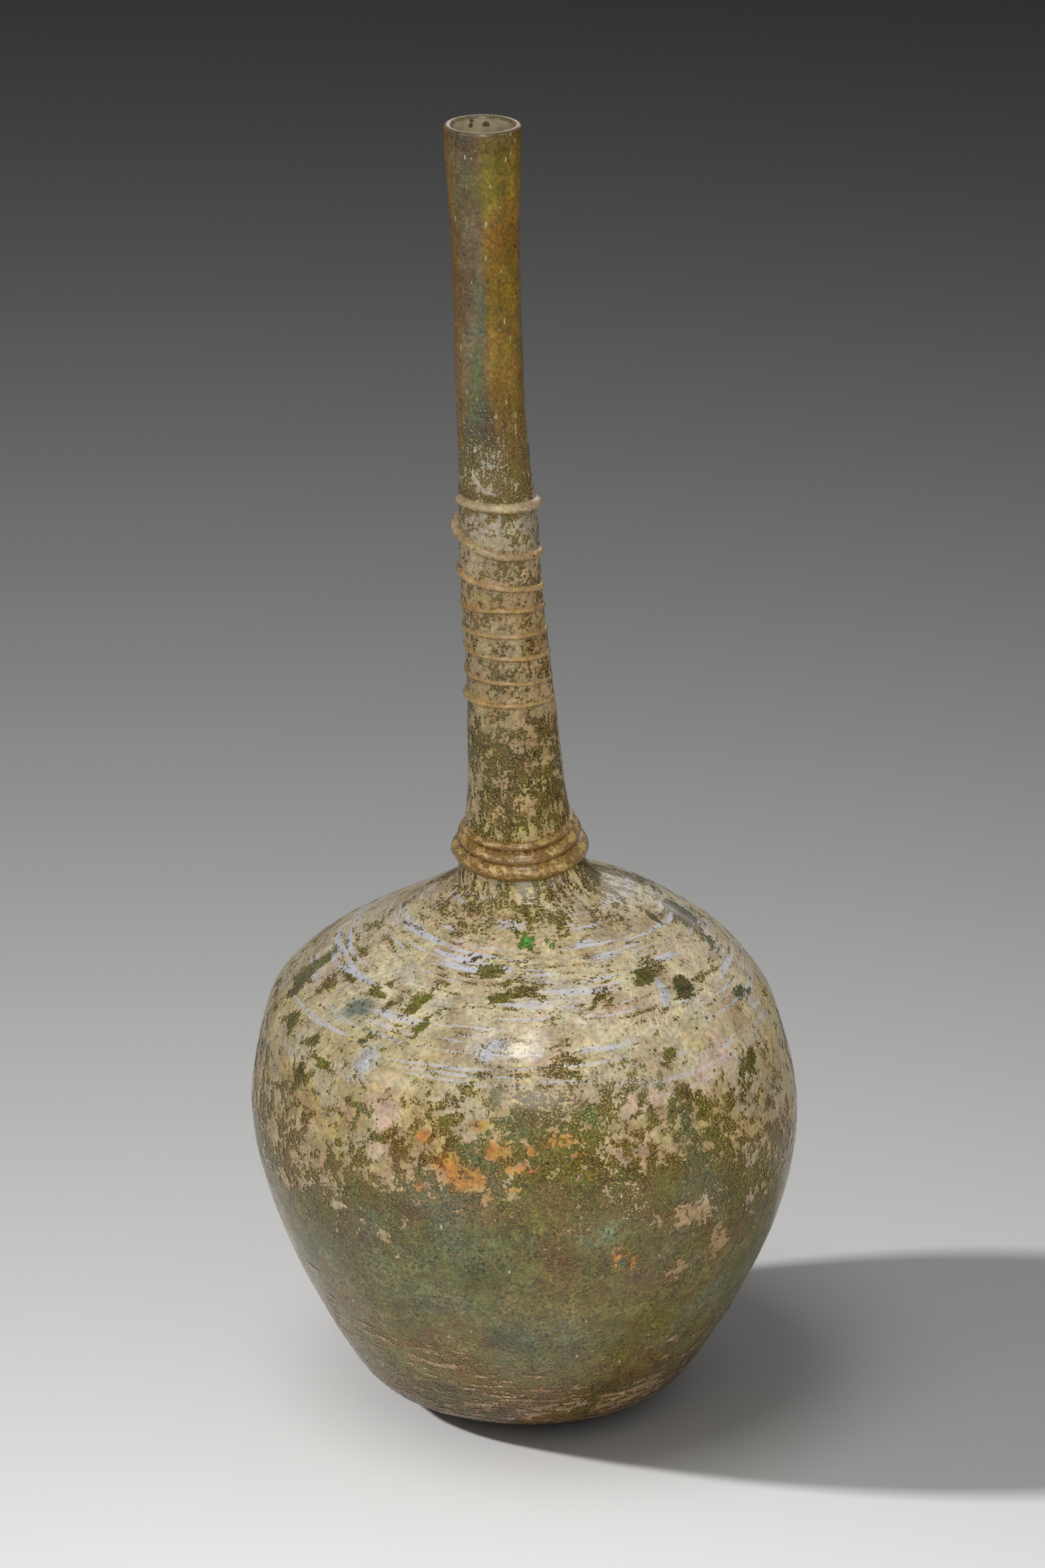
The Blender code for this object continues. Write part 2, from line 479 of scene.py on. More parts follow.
OLIVE: Colour = (0.135, 0.125, 0.024)
YELLOW_OLIVE: Colour = (0.200, 0.180, 0.025)
LEAF: Colour = (0.190, 0.200, 0.026)
VIVID: Colour = (0.070, 0.420, 0.070)
DARK_TEAL: Colour = (0.045, 0.065, 0.035)
AQUA: Colour = (0.080, 0.300, 0.280)
TEAL: Colour = (0.150, 0.190, 0.118)
PALE_TEAL: Colour = (0.215, 0.275, 0.185)
SLATE: Colour = (0.165, 0.185, 0.135)
MOSS: Colour = (0.145, 0.148, 0.018)
RUST: Colour = (0.190, 0.085, 0.016)
UMBER: Colour = (0.160, 0.100, 0.030)
ORANGE: Colour = (0.480, 0.220, 0.035)
PINK: Colour = (0.550, 0.395, 0.265)
LAVENDER: Colour = (0.500, 0.490, 0.500)
TAN: Colour = (0.370, 0.245, 0.115)
MAUVE: Colour = (0.235, 0.175, 0.125)
SEA_GREEN: Colour = (0.140, 0.185, 0.115)
ASH: Colour = (0.280, 0.270, 0.215)
DARK_BROWN: Colour = (0.110, 0.060, 0.025)
# Painted shade: a deeper, darker amber laid on the neck's sides as seen from the front, where the
# glass is seen at a slant.
PAINTED_EDGE_SHADE_AMBER: Colour = (0.360, 0.180, 0.022)

FRONT_MARKS: tuple[Mark, ...] = (
    Mark(Kind.BARE, -81, 98.0, 5.5, 15.0, OLIVE, tilt=25),
    Mark(Kind.BARE, -64, 101.5, 5.4, 3.0, OLIVE),
    Mark(Kind.BARE, -49, 102.1, 5.3, 2.4, OLIVE),
    Mark(Kind.BARE, -35, 101.3, 3.6, 4.6, LEAF),
    Mark(Kind.BARE, -27, 101.1, 1.6, 1.6, OLIVE),
    Mark(Kind.BARE, -43, 101.2, 1.8, 1.8, OLIVE),
    Mark(Kind.BARE, -51, 89.3, 7.1, 2.6, YELLOW_OLIVE),
    Mark(Kind.BARE, -56, 91.4, 2.3, 3.0, OLIVE),
    Mark(Kind.BARE, -57, 84.0, 2.1, 3.5, UMBER),
    Mark(Kind.BARE, -27, 109.2, 3.0, 2.7, UMBER),
    Mark(Kind.BARE, -18, 107.2, 6.1, 3.1, YELLOW_OLIVE),
    Mark(Kind.BARE, -10, 104.9, 5.6, 3.0, YELLOW_OLIVE),
    Mark(Kind.BARE, 70, 110.9, 2.4, 4.3, OLIVE),
    Mark(Kind.BARE, 90, 108.7, 8.0, 13.0, DARK_TEAL, tilt=-12),
    Mark(Kind.BARE, 62, 107.5, 1.8, 1.9, OLIVE),
    Mark(Kind.BARE, 81, 104.6, 3.0, 4.3, SLATE),
    Mark(Kind.BARE, 39, 104.9, 7.9, 3.6, OLIVE, tilt=14),
    Mark(Kind.BARE, 50, 102.1, 4.3, 4.6, DARK_TEAL),
    Mark(Kind.BARE, 25, 103.2, 1.4, 2.4, OLIVE),
    Mark(Kind.BARE, 19, 103.2, 1.4, 1.9, OLIVE),
    Mark(Kind.BARE, 74, 95.7, 9.0, 2.4, DARK_TEAL, tilt=-22),
    Mark(Kind.BARE, 37, 93.2, 3.2, 2.0, OLIVE),
    Mark(Kind.BARE, -6, 111.4, 1.7, 3.4, VIVID),
    Mark(Kind.BARE, -2, 109.6, 1.4, 1.6, VIVID),
    Mark(Kind.BARE, 5, 111.0, 1.5, 1.6, VIVID),
    Mark(Kind.BARE, -9, 113.0, 1.6, 1.4, AQUA),
    Mark(Kind.BARE, -29, 98.8, 1.8, 2.8, LEAF),
    Mark(Kind.BARE, -68, 92.0, 4.0, 3.0, OLIVE),
    Mark(Kind.BARE, 62, 86.0, 3.0, 4.5, MOSS),
    Mark(Kind.BARE, -42, 94.0, 2.9, 1.6, SLATE),
    Mark(Kind.FLUSH, -51, 98.2, 6.0, 4.4, SLATE),
    Mark(Kind.FLUSH, -38, 92.1, 3.6, 4.2, LAVENDER),
    Mark(Kind.FLUSH, 42, 102.2, 2.2, 5.0, LAVENDER),
    # Painted highlight: a pale flush on the front of the shoulder, where a light above the camera
    # would shine.
    Mark(Kind.FLUSH, -8, 97.5, 5.0, 4.0, LAVENDER),
    Mark(Kind.CRUST, 45, 87.9, 7.5, 6.4, PINK),
    Mark(Kind.CRUST, 31, 86.5, 5.5, 3.9, PINK),
    Mark(Kind.CRUST, 24, 85.8, 3.5, 4.7, PINK),
    Mark(Kind.CRUST, 53, 91.4, 5.9, 10.4, PINK),
    Mark(Kind.CRUST, -30, 82.5, 6.4, 4.8, PINK),
    Mark(Kind.CRUST, -31, 75.2, 5.7, 3.3, PINK),
    Mark(Kind.CRUST, -12, 81.1, 3.2, 2.4, PINK),
    Mark(Kind.CRUST, -6, 77.9, 7.1, 5.1, ORANGE, 0.62),
    Mark(Kind.CRUST, -12, 72.3, 9.8, 5.3, ORANGE, 0.62),
    Mark(Kind.CRUST, -16, 75.2, 7.4, 4.0, ORANGE, 0.62),
    Mark(Kind.CRUST, 2, 78.5, 3.0, 2.0, ORANGE, 0.8),
    Mark(Kind.CRUST, -21, 80.0, 2.5, 2.0, ORANGE, 0.8),
    Mark(Kind.CRUST, -3, 70.0, 3.0, 1.5, ORANGE, 0.8),
    Mark(Kind.CRUST, 12, 77.0, 2.2, 1.6, ORANGE, 0.8),
    Mark(Kind.CRUST, -9, 84.0, 3.0, 2.0, ORANGE, 0.7),
    Mark(Kind.CRUST, -13, 67.0, 2.9, 1.6, ORANGE, 0.6),
    Mark(Kind.CRUST, -7, 67.4, 2.4, 1.4, ORANGE, 0.6),
    Mark(Kind.CRUST, 0, 74.6, 9.4, 2.2, ORANGE, 0.62),
    Mark(Kind.CRUST, 8, 80.5, 9.0, 3.5, ORANGE, 0.58),
    Mark(Kind.CRUST, -22, 69.5, 4.0, 4.0, ORANGE, 0.45),
    Mark(Kind.CRUST, 34, 60.0, 15.0, 5.4, TAN, 0.75),
    Mark(Kind.CRUST, 45, 50.3, 5.4, 9.7, TAN, 0.75),
    Mark(Kind.CRUST, 34, 47.1, 6.4, 5.4, TAN, 0.75),
    Mark(Kind.CRUST, -35, 26.7, 27.7, 2.9, TAN, 0.45),
    Mark(Kind.CRUST, -25, 23.1, 15.5, 2.9, TAN, 0.45),
    Mark(Kind.CRUST, 39, 11.8, 25.0, 7.9, TAN, 0.40),
    Mark(Kind.CRUST, -62, 38.0, 18.0, 3.0, TAN, 0.35),
    Mark(Kind.FILM, 34, 57.3, 6.2, 3.7, SLATE),
    Mark(Kind.FILM, 39, 48.4, 5.7, 6.3, TEAL),
    Mark(Kind.FILM, 9, 81.3, 20.0, 10.0, LEAF, 0.8),
    Mark(Kind.FILM, 15, 84.6, 3.4, 3.4, VIVID, 0.5),
    Mark(Kind.FILM, -19, 67.5, 21.0, 10.0, TEAL, 0.8),
    Mark(Kind.FILM, 16, 59.1, 12.6, 7.2, PALE_TEAL, 0.7),
    Mark(Kind.FILM, -12, 54.9, 24.8, 14.0, TEAL, 0.5),
    Mark(Kind.FILM, 4, 63.7, 9.4, 7.0, LEAF, 0.7),
    Mark(Kind.FILM, 6, 54.5, 15.9, 4.5, RUST, 0.6),
    Mark(Kind.FILM, 38, 54.0, 18.0, 20.0, UMBER, 0.6),
    Mark(Kind.FILM, 56, 62.0, 6.5, 24.0, MOSS, 0.7),
    Mark(Kind.FILM, -38, 69.4, 12.0, 4.0, UMBER, 0.6),
    Mark(Kind.FILM, -41, 53.1, 12.6, 21.9, UMBER, 0.5),
    Mark(Kind.FILM, -21, 41.7, 27.7, 13.9, SLATE, 0.5),
    Mark(Kind.FILM, 5, 30.6, 16.0, 12.6, TEAL, 0.5),
    Mark(Kind.FILM, -12, 47.1, 8.3, 8.0, MOSS, 0.6),
    Mark(Kind.CRUST, 21, 51.9, 5.8, 6.4, ORANGE, 0.8),
    Mark(Kind.BARE, 21, 51.9, 2.8, 3.2, TEAL),
)

NECK_STREAKS: tuple[Streak, ...] = (
    Streak((0.160, 0.245, 0.100), -21, 10, 230, 8, 0.85),
    Streak((0.180, 0.245, 0.185), -13, 9, 243, 8, 0.70),
    Streak((0.300, 0.150, 0.025), 10, 14, 258, 3, 0.45),
    Streak((0.330, 0.140, 0.020), -78, 12, 268, 6, 0.60),
    Streak((0.290, 0.240, 0.030), 14, 30, 270, 6, 0.65),
    Streak((0.130, 0.090, 0.070), -6, 18, 213, 7, 0.75),
    Streak((0.180, 0.230, 0.150), 70, 8, 243, 10, 0.60),
    Streak((0.230, 0.210, 0.150), 150, 40, 240, 30, 0.55),
)


@dataclass(frozen=True)
class Blister:
    """A burst bubble in the wall: a raised ring, with its place, its radius and its rim's size."""

    azimuth: float = 20.9
    height_mm: float = 51.9
    radius_mm: float = 2.1
    rim_mm: float = 0.7
    rise_mm: float = 0.22


@dataclass
class Weathering:
    """What the ground did to the glass, with painted shade at the neck's sides and a painted
    highlight on the shoulder, read at any point of its surface.
    """

    form: BlownForm
    marks: tuple[Mark, ...] = FRONT_MARKS
    streaks: tuple[Streak, ...] = NECK_STREAKS
    blister: Blister = field(default_factory=Blister)
    # How far the edges of the marks wander, and the level at which the belly's crust ends.
    ragged_mm: float = 1.6
    end_wander_mm: float = 9.0
    # How much the crust's share varies in patches, and how much of it is lost where a gap is.
    patchiness: float = 0.40
    gap_loss: float = 0.60
    gap_start: float = 0.22
    mark_cover: float = 0.80
    # Heights between which the level of the belly's crust counts.
    belly_mm: tuple[float, ...] = (40, 60, 92, 104)
    # Heights between which the upper neck's film sets in, and how much painted shade of deeper
    # amber lies at its sides as seen from the front; azimuths of those sides, and of the mottled
    # stretch on the left.
    neck_film_mm: tuple[float, ...] = (204, 216)
    edge_shade_share: float = 0.60
    shaded_edge_azimuths: tuple[float, ...] = (42, 66, 100, 130)
    mottled_azimuths: tuple[float, ...] = (-62, -44, -10, 4)
    # Heights in mm, and the share of the wall that the crust covers there.
    cover: tuple[tuple[float, float], ...] = (
        (0, 0.42),
        (9, 0.42),
        (16, 0.38),
        (24, 0.28),
        (32, 0.14),
        (46, 0.08),
        (56, 0.16),
        (64, 0.27),
        (72, 0.36),
        (80, 0.46),
        (88, 0.55),
        (96, 0.68),
        (110, 0.72),
        (115, 0.54),
        (121, 0.38),
        (131, 0.44),
        (140, 0.42),
        (152, 0.48),
        (158, 0.57),
        (198, 0.60),
        (203, 0.50),
        (212, 0.36),
        (221, 0.24),
        (227, 0.10),
        (240, 0.03),
        (280, 0.02),
    )
    # Azimuths, and how many mm higher the belly's crust ends there.
    ends_higher: tuple[tuple[float, float], ...] = (
        (-180, -5),
        (-120, 4),
        (-75, -14),
        (-48, -12),
        (-19, -4),
        (0, 4),
        (24, 3),
        (45, -6),
        (72, -14),
        (110, -3),
        (150, 5),
        (180, -5),
    )
    # Heights in mm, and the colour of the film and the glass there.
    film: tuple[tuple[float, Colour], ...] = (
        (0, (0.036, 0.022, 0.004)),
        (12, (0.082, 0.058, 0.011)),
        (28, (0.245, 0.215, 0.078)),
        (45, (0.228, 0.208, 0.072)),
        (60, (0.132, 0.126, 0.022)),
        (76, (0.165, 0.130, 0.014)),
        (90, (0.130, 0.104, 0.014)),
        (118, (0.100, 0.082, 0.013)),
        (150, (0.110, 0.086, 0.015)),
        (170, (0.110, 0.065, 0.016)),
        (206, (0.330, 0.235, 0.090)),
        (222, (0.420, 0.260, 0.052)),
        (245, (0.450, 0.270, 0.036)),
        (262, (0.440, 0.270, 0.030)),
        (278, (0.430, 0.290, 0.050)),
        (280, (0.230, 0.190, 0.110)),
    )
    # Heights in mm, and the colour of the crust there.
    crust: tuple[tuple[float, Colour], ...] = (
        (0, (0.120, 0.062, 0.014)),
        (10, (0.185, 0.098, 0.026)),
        (25, (0.340, 0.192, 0.060)),
        (60, (0.390, 0.275, 0.120)),
        (80, (0.410, 0.300, 0.100)),
        (92, (0.525, 0.415, 0.185)),
        (102, (0.680, 0.590, 0.370)),
        (118, (0.530, 0.395, 0.160)),
        (126, (0.430, 0.310, 0.110)),
        (150, (0.340, 0.240, 0.092)),
        (180, (0.325, 0.214, 0.068)),
        (204, (0.400, 0.350, 0.245)),
        (225, (0.360, 0.340, 0.260)),
        (280, (0.420, 0.370, 0.250)),
    )
    # Heights in mm, and how far the crust lies in hoops, in runs and in pale lines there.
    grain: tuple[tuple[float, float, float, float], ...] = (
        (0, 0.50, 0.00, 0.00),
        (12, 0.70, 0.00, 0.00),
        (30, 0.85, 0.00, 0.00),
        (44, 0.30, 0.00, 0.00),
        (84, 0.00, 0.10, 0.00),
        (94, 0.45, 0.00, 0.60),
        (103, 0.75, 0.00, 1.00),
        (111, 0.80, 0.00, 0.90),
        (116, 0.20, 0.60, 0.30),
        (124, 0.00, 0.75, 0.00),
        (134, 0.00, 0.50, 0.00),
        (156, 0.00, 0.30, 0.00),
        (160, 0.45, 0.00, 0.00),
        (200, 0.45, 0.00, 0.00),
        (204, 0.00, 0.35, 0.00),
        (225, 0.00, 0.55, 0.00),
        (280, 0.00, 0.85, 0.00),
    )

    def along(self, height: np.ndarray | float) -> np.ndarray:
        """Measures up the wall instead of straight up.

        Args:
            height: Heights on the outside.

        Returns:
            The way along the wall from the foot, in metres.
        """
        return np.interp(height, self.form.outside[:, 1], self.form.way)

    def polar(self, points: np.ndarray) -> tuple[np.ndarray, np.ndarray, np.ndarray]:
        """Reads points about the bottle's middle line.

        Args:
            points: Places near the wall.

        Returns:
            Azimuths in degrees, heights in mm, and radii in mm.
        """
        line = self.form.outside
        aside = np.interp(points[:, 2], line[:, 1], line[:, 2])
        x, y = points[:, 0] - aside, points[:, 1]
        return np.degrees(np.arctan2(x, -y)), points[:, 2] / MM, np.hypot(x, y) / MM

    def inside_mark(self, mark: Mark, azimuth: np.ndarray, height: np.ndarray) -> np.ndarray:
        """How much of a mark lies at each place.

        Args:
            mark: The mark.
            azimuth: Azimuths in degrees.
            height: Heights in mm.

        Returns:
            1 well inside the mark, falling to 0 outside it.
        """
        line = self.form.outside
        radius = np.interp(mark.height_mm * MM, line[:, 1], line[:, 0]) / MM
        across = np.radians(turn_from(mark.azimuth, azimuth)) * radius
        along = (self.along(height * MM) - self.along(mark.height_mm * MM)) / MM
        tilt = math.radians(mark.tilt)
        u = across * math.cos(tilt) + along * math.sin(tilt)
        v = along * math.cos(tilt) - across * math.sin(tilt)
        reach = (2 * u / mark.across_mm) ** 2 + (2 * v / mark.along_mm) ** 2
        sharp = 1.0 if mark.kind in (Kind.FILM, Kind.FLUSH) else 2.0
        return np.exp(-(reach**sharp))

    def weighted(
        self, kinds: tuple[Kind, ...], points: np.ndarray
    ) -> Iterator[tuple[Mark, np.ndarray]]:
        """Finds the marks of some kinds, with edges that wander.

        Args:
            kinds: The kinds to find.
            points: Places near the wall.

        Yields:
            Each mark, and its weight at each point.
        """
        azimuth, height, radius = self.polar(points)
        wander = [
            self.ragged_mm
            * (cloud(points, 0.0045, 4, shift) + 0.4 * cloud(points, 0.0012, shift=shift))
            for shift in (0.3, 0.7)
        ]
        azimuth = azimuth + np.degrees(wander[0] / radius)
        height = height + wander[1]
        for mark in self.marks:
            if mark.kind in kinds:
                yield mark, mark.strength * self.inside_mark(mark, azimuth, height)

    @staticmethod
    def by_height(table: tuple[tuple[float, Colour], ...], height: np.ndarray) -> np.ndarray:
        """Reads a table of colours.

        Args:
            table: Heights in mm, each with its colour.
            height: The heights to read it at.

        Returns:
            One row of red, green and blue for each height.
        """
        heights, colours = zip(*table)
        return np.stack([np.interp(height, heights, values) for values in zip(*colours)], axis=1)

    def coverage(self, points: np.ndarray) -> np.ndarray:
        """Reads how much of the wall the crust covers.

        Args:
            points: Places near the wall.

        Returns:
            The share at each point, from 0 to 1.
        """
        azimuth, height, _ = self.polar(points)
        higher = np.interp(azimuth, *np.array(self.ends_higher).T)
        on_belly = np.interp(height, self.belly_mm, (0, 1, 1, 0))
        read = height - on_belly * (higher + self.end_wander_mm * cloud(points, 0.020))
        share = np.interp(read, *np.array(self.cover).T)
        share = share + self.patchiness * cloud(points, 0.009, 4) * np.sqrt(share * (1 - share))
        gaps = np.clip(cloud(points, 0.010, 4, shift=0.8) - self.gap_start, 0, 1)
        share = share - self.gap_loss * gaps * share
        for _, weight in self.weighted((Kind.CRUST,), points):
            share = share + self.mark_cover * weight * (1 - share)
        for _, weight in self.weighted((Kind.BARE,), points):
            share = share * (1 - weight)
        return np.clip(share, 0, 1)

    def film_colour_and_edge_shade(self, points: np.ndarray) -> np.ndarray:
        """Reads the colour of the film and the glass, with painted shade at the neck's sides.

        Args:
            points: Places near the wall.

        Returns:
            One row of red, green and blue for each point.
        """
        azimuth, height, _ = self.polar(points)
        colour = self.by_height(self.film, height)
        # Each tint shows where its noise is high, and less so at the foot and above the belly.
        belly = np.interp(height, (0, 12, 80, 100), (0.3, 1, 1, 0.3))
        lumps = cloud(points, 0.019, 4)
        others = cloud(points, 0.015, 4, shift=0.5)
        for tint, near in ((TEAL, lumps), (UMBER, -lumps), (MOSS, others), (RUST, -others - 0.2)):
            colour = lay(colour, tint, belly * np.clip(near * 1.6 - 0.05, 0, 0.75))
        for mark, weight in self.weighted((Kind.FILM, Kind.BARE), points):
            colour = lay(colour, mark.colour, weight)
        return self.neck_film(colour, azimuth, height, points)

    def neck_film(
        self, colour: np.ndarray, azimuth: np.ndarray, height: np.ndarray, points: np.ndarray
    ) -> np.ndarray:
        """Lays the upper neck's painted edge shade of deeper amber, mottles and long streaks over
        the film.

        Args:
            colour: The colours so far.
            azimuth: Azimuths in degrees.
            height: Heights in mm.
            points: The same places in metres.

        Returns:
            The colours with the neck's own.
        """
        run = cloud(points * (1.0, 1.0, 0.15), 0.0030, 4)
        blot = cloud(points * (1.0, 1.0, 0.45), 0.0050, 4)
        on_neck = np.interp(height, self.neck_film_mm, (0, 1))
        # Painted shade: the sides of the upper neck, as seen from the front, darken to a deeper
        # amber.
        at_shaded_edge = np.interp(np.abs(azimuth), self.shaded_edge_azimuths, (0, 1, 1, 0))
        colour = lay(colour, PAINTED_EDGE_SHADE_AMBER, self.edge_shade_share * on_neck * at_shaded_edge)
        mottled = np.interp(azimuth, self.mottled_azimuths, (0.1, 1, 1, 0)) * on_neck
        # Mauve lies nearly everywhere on the mottled left, and the other tints in blots on it.
        for tint, near in (
            (MAUVE, 0.5 + blot),
            (SEA_GREEN, blot - 0.10),
            (ASH, -blot - 0.15),
            (DARK_BROWN, run - 0.28),
        ):
            colour = lay(colour, tint, mottled * np.clip(2.2 * near, 0, 0.8))
        for streak in self.streaks:
            across = turn_from(streak.azimuth, azimuth) / streak.half_degrees
            along = (height - streak.height_mm) / streak.half_mm
            reach = (across + 0.7 * run + 1.2 * blot) ** 2 + (along + 0.6 * run) ** 2
            colour = lay(colour, streak.colour, streak.strength * on_neck * np.exp(-(reach**1.6)))
        return colour * (1 + 0.30 * on_neck * run)[:, None]

    def crust_and_highlight_colour(self, points: np.ndarray) -> np.ndarray:
        """Reads the colour of the crust, with a painted highlight on the front of the shoulder.

        Args:
            points: Places near the wall.

        Returns:
            One row of red, green and blue for each point.
        """
        height = points[:, 2] / MM
        colour = self.by_height(self.crust, height)
        lumps = cloud(points, 0.014, 4, shift=0.2)
        others = cloud(points, 0.010, 4, shift=0.6)
        # Each tint shows where its noise is high, up to its own share, and less so on the neck.
        fades = np.interp(height, (112, 130), (1, 0.45))
        tints = ((PINK, lumps, 0.55), (LAVENDER, -lumps, 0.25), (TAN, -others, 0.60))
        for tint, near, most in tints:
            colour = lay(colour, tint, np.clip(near * 1.4 - 0.08, 0, most) * fades)
        # The flushes include the painted highlight on the front of the shoulder.
        for mark, weight in self.weighted((Kind.CRUST, Kind.FLUSH), points):
            colour = lay(colour, mark.colour, np.clip(2.0 * weight, 0, 1))
        return colour

    def blister_rise(self, points: np.ndarray) -> np.ndarray:
        """Reads how far the burst bubble lifts the wall.

        Args:
            points: Places near the wall.

        Returns:
            The rise at each point, in metres.
        """
        azimuth, height, radius = self.polar(points)
        turn = np.radians(turn_from(self.blister.azimuth, azimuth))
        away = np.hypot(turn * radius, height - self.blister.height_mm)
        ring = (away - self.blister.radius_mm) / self.blister.rim_mm
        return self.blister.rise_mm * MM * np.exp(-(ring**2))

    def paint(self, piece: bpy.types.Object) -> None:
        """Writes what the materials read onto a piece, as attributes of its points.

        Args:
            piece: The piece, with its mesh in place.
        """
        data = piece.data
        flat = np.empty(len(data.vertices) * 3)
        data.vertices.foreach_get("co", flat)
        points = flat.reshape(-1, 3)
        azimuth, height, _ = self.polar(points)
        angle = np.radians(azimuth)
        around = np.stack([np.sin(angle), -np.cos(angle), self.along(height * MM)], axis=1)
        heights, *grain = np.array(self.grain).T
        grain = np.stack([np.interp(height, heights, values) for values in grain], axis=1)
        # The film attribute also holds the painted shade at the neck's sides, and the crust's
        # colour holds the painted highlight on the shoulder.
        for name, kind, values in (
            ("around", "FLOAT_VECTOR", around),
            ("film", "FLOAT_COLOR", self.opaque(self.film_colour_and_edge_shade(points))),
            ("crust_and_highlight_colour", "FLOAT_COLOR", self.opaque(self.crust_and_highlight_colour(points))),
            ("coverage", "FLOAT", self.coverage(points)),
            ("grain", "FLOAT_VECTOR", grain),
        ):
            layer = data.attributes.new(name, kind, "POINT")
            key = {"FLOAT_VECTOR": "vector", "FLOAT_COLOR": "color", "FLOAT": "value"}[kind]
            layer.data.foreach_set(key, np.ascontiguousarray(values, dtype=np.float32).ravel())

    @staticmethod
    def opaque(colours: np.ndarray) -> np.ndarray:
        """The colours with a fourth value of 1, kept in range."""
        return np.hstack([np.clip(colours, 0.005, 0.95), np.ones((len(colours), 1))])


# Shader graphs


class Graph:
    """A node tree, with short ways to add nodes and join them."""

    def __init__(self, tree: bpy.types.NodeTree) -> None:
        """Wraps a tree."""
        self.tree = tree

    def add(self, kind: str, **settings: object) -> bpy.types.Node:
        """Adds a node.

        Args:
            kind: The node's type, without ShaderNode in front.
            settings: The node's own properties.

        Returns:
            The node.
        """
        node = self.tree.nodes.new("ShaderNode" + kind)
        for name, value in settings.items():
            setattr(node, name, value)
        return node

    def feed(self, node: bpy.types.Node, key: str | int, value: object) -> None:
        """Gives an input a value, or joins a socket to it.

        Args:
            node: The node.
            key: The input's name or number.
            value: The value or the socket.
        """
        if isinstance(value, bpy.types.NodeSocket):
            self.tree.links.new(value, node.inputs[key])
        else:
            node.inputs[key].default_value = value

    def give(self, node: bpy.types.Node, **values: object) -> bpy.types.Node:
        """Feeds several inputs.

        Args:
            node: The node.
            values: Its inputs by name, with _ for a space.

        Returns:
            The same node.
        """
        for name, value in values.items():
            self.feed(node, name.replace("_", " "), value)
        return node

    def attribute(self, name: str, output: str) -> Socket:
        """Reads an attribute of the mesh's points."""
        return self.add("Attribute", attribute_name=name).outputs[output]

    def maths(self, operation: str, *values: object, clamp: bool = False) -> Socket:
        """Works out a value.

        Args:
            operation: The Math node's operation.
            values: Its inputs, in order.
            clamp: Whether to keep the result from 0 to 1.

        Returns:
            The result.
        """
        node = self.add("Math", operation=operation, use_clamp=clamp)
        for place, value in enumerate(values):
            self.feed(node, place, value)
        return node.outputs[0]

    def blend(self, share: object, first: Socket, second: Socket) -> Socket:
        """Goes from one value to another by a share."""
        step = self.maths("SUBTRACT", second, first)
        return self.maths("MULTIPLY_ADD", step, share, first)

    def parts(self, vector: Socket) -> tuple[Socket, Socket, Socket]:
        """Splits a vector.

        Args:
            vector: The vector.

        Returns:
            Its three values.
        """
        node = self.add("SeparateXYZ")
        self.feed(node, 0, vector)
        return node.outputs[0], node.outputs[1], node.outputs[2]

    def mix(self, share: object, first: object, second: object, blend: str = "MIX") -> Socket:
        """Mixes two colours.

        Args:
            share: How much of the second to take.
            first: A colour.
            second: A colour.
            blend: The Mix node's way of blending.

        Returns:
            The mixed colour.
        """
        node = self.add("Mix", data_type="RGBA", blend_type=blend)
        for name, value in (("Factor_Float", share), ("A_Color", first), ("B_Color", second)):
            place = [i.identifier for i in node.inputs].index(name)
            self.feed(node, place, value)
        return node.outputs[2]

    def span(
        self, value: object, low: object, high: object, start: object = 0.0, end: object = 1.0
    ) -> Socket:
        """Maps a value smoothly from one range to another, and keeps it there.

        Args:
            value: The value.
            low: Where the first range starts.
            high: Where it ends.
            start: Where the other range starts.
            end: Where it ends.

        Returns:
            The mapped value.
        """
        node = self.add("MapRange", interpolation_type="SMOOTHSTEP")
        self.give(node, Value=value, From_Min=low, From_Max=high, To_Min=start, To_Max=end)
        return node.outputs[0]

    def clouds(
        self, place: Socket, scale: object, detail: float = 3.0, swirl: float = 0.0
    ) -> Socket:
        """Reads smooth noise.

        Args:
            place: Where to read it.
            scale: How many lumps there are to a unit of place.
            detail: How many finer layers it has.
            swirl: How far the lumps are smeared.

        Returns:
            The noise, mostly from 0.3 to 0.7.
        """
        node = self.add("TexNoise")
        self.give(node, Vector=place, Scale=scale, Detail=detail, Distortion=swirl)
        return node.outputs[0]

    def scaled(self, place: Socket, factors: tuple[float, float, float]) -> Socket:
        """Stretches places.

        Args:
            place: The places.
            factors: How much to stretch them along each axis.

        Returns:
            The new places.
        """
        node = self.add("VectorMath", operation="MULTIPLY")
        self.feed(node, 0, place)
        self.feed(node, 1, factors)
        return node.outputs[0]

    def group(self, tree: bpy.types.NodeTree, **values: object) -> bpy.types.Node:
        """Places a group.

        Args:
            tree: The group.
            values: Its inputs by name, with _ for a space.

        Returns:
            The group's node.
        """
        return self.give(self.add("Group", node_tree=tree), **values)


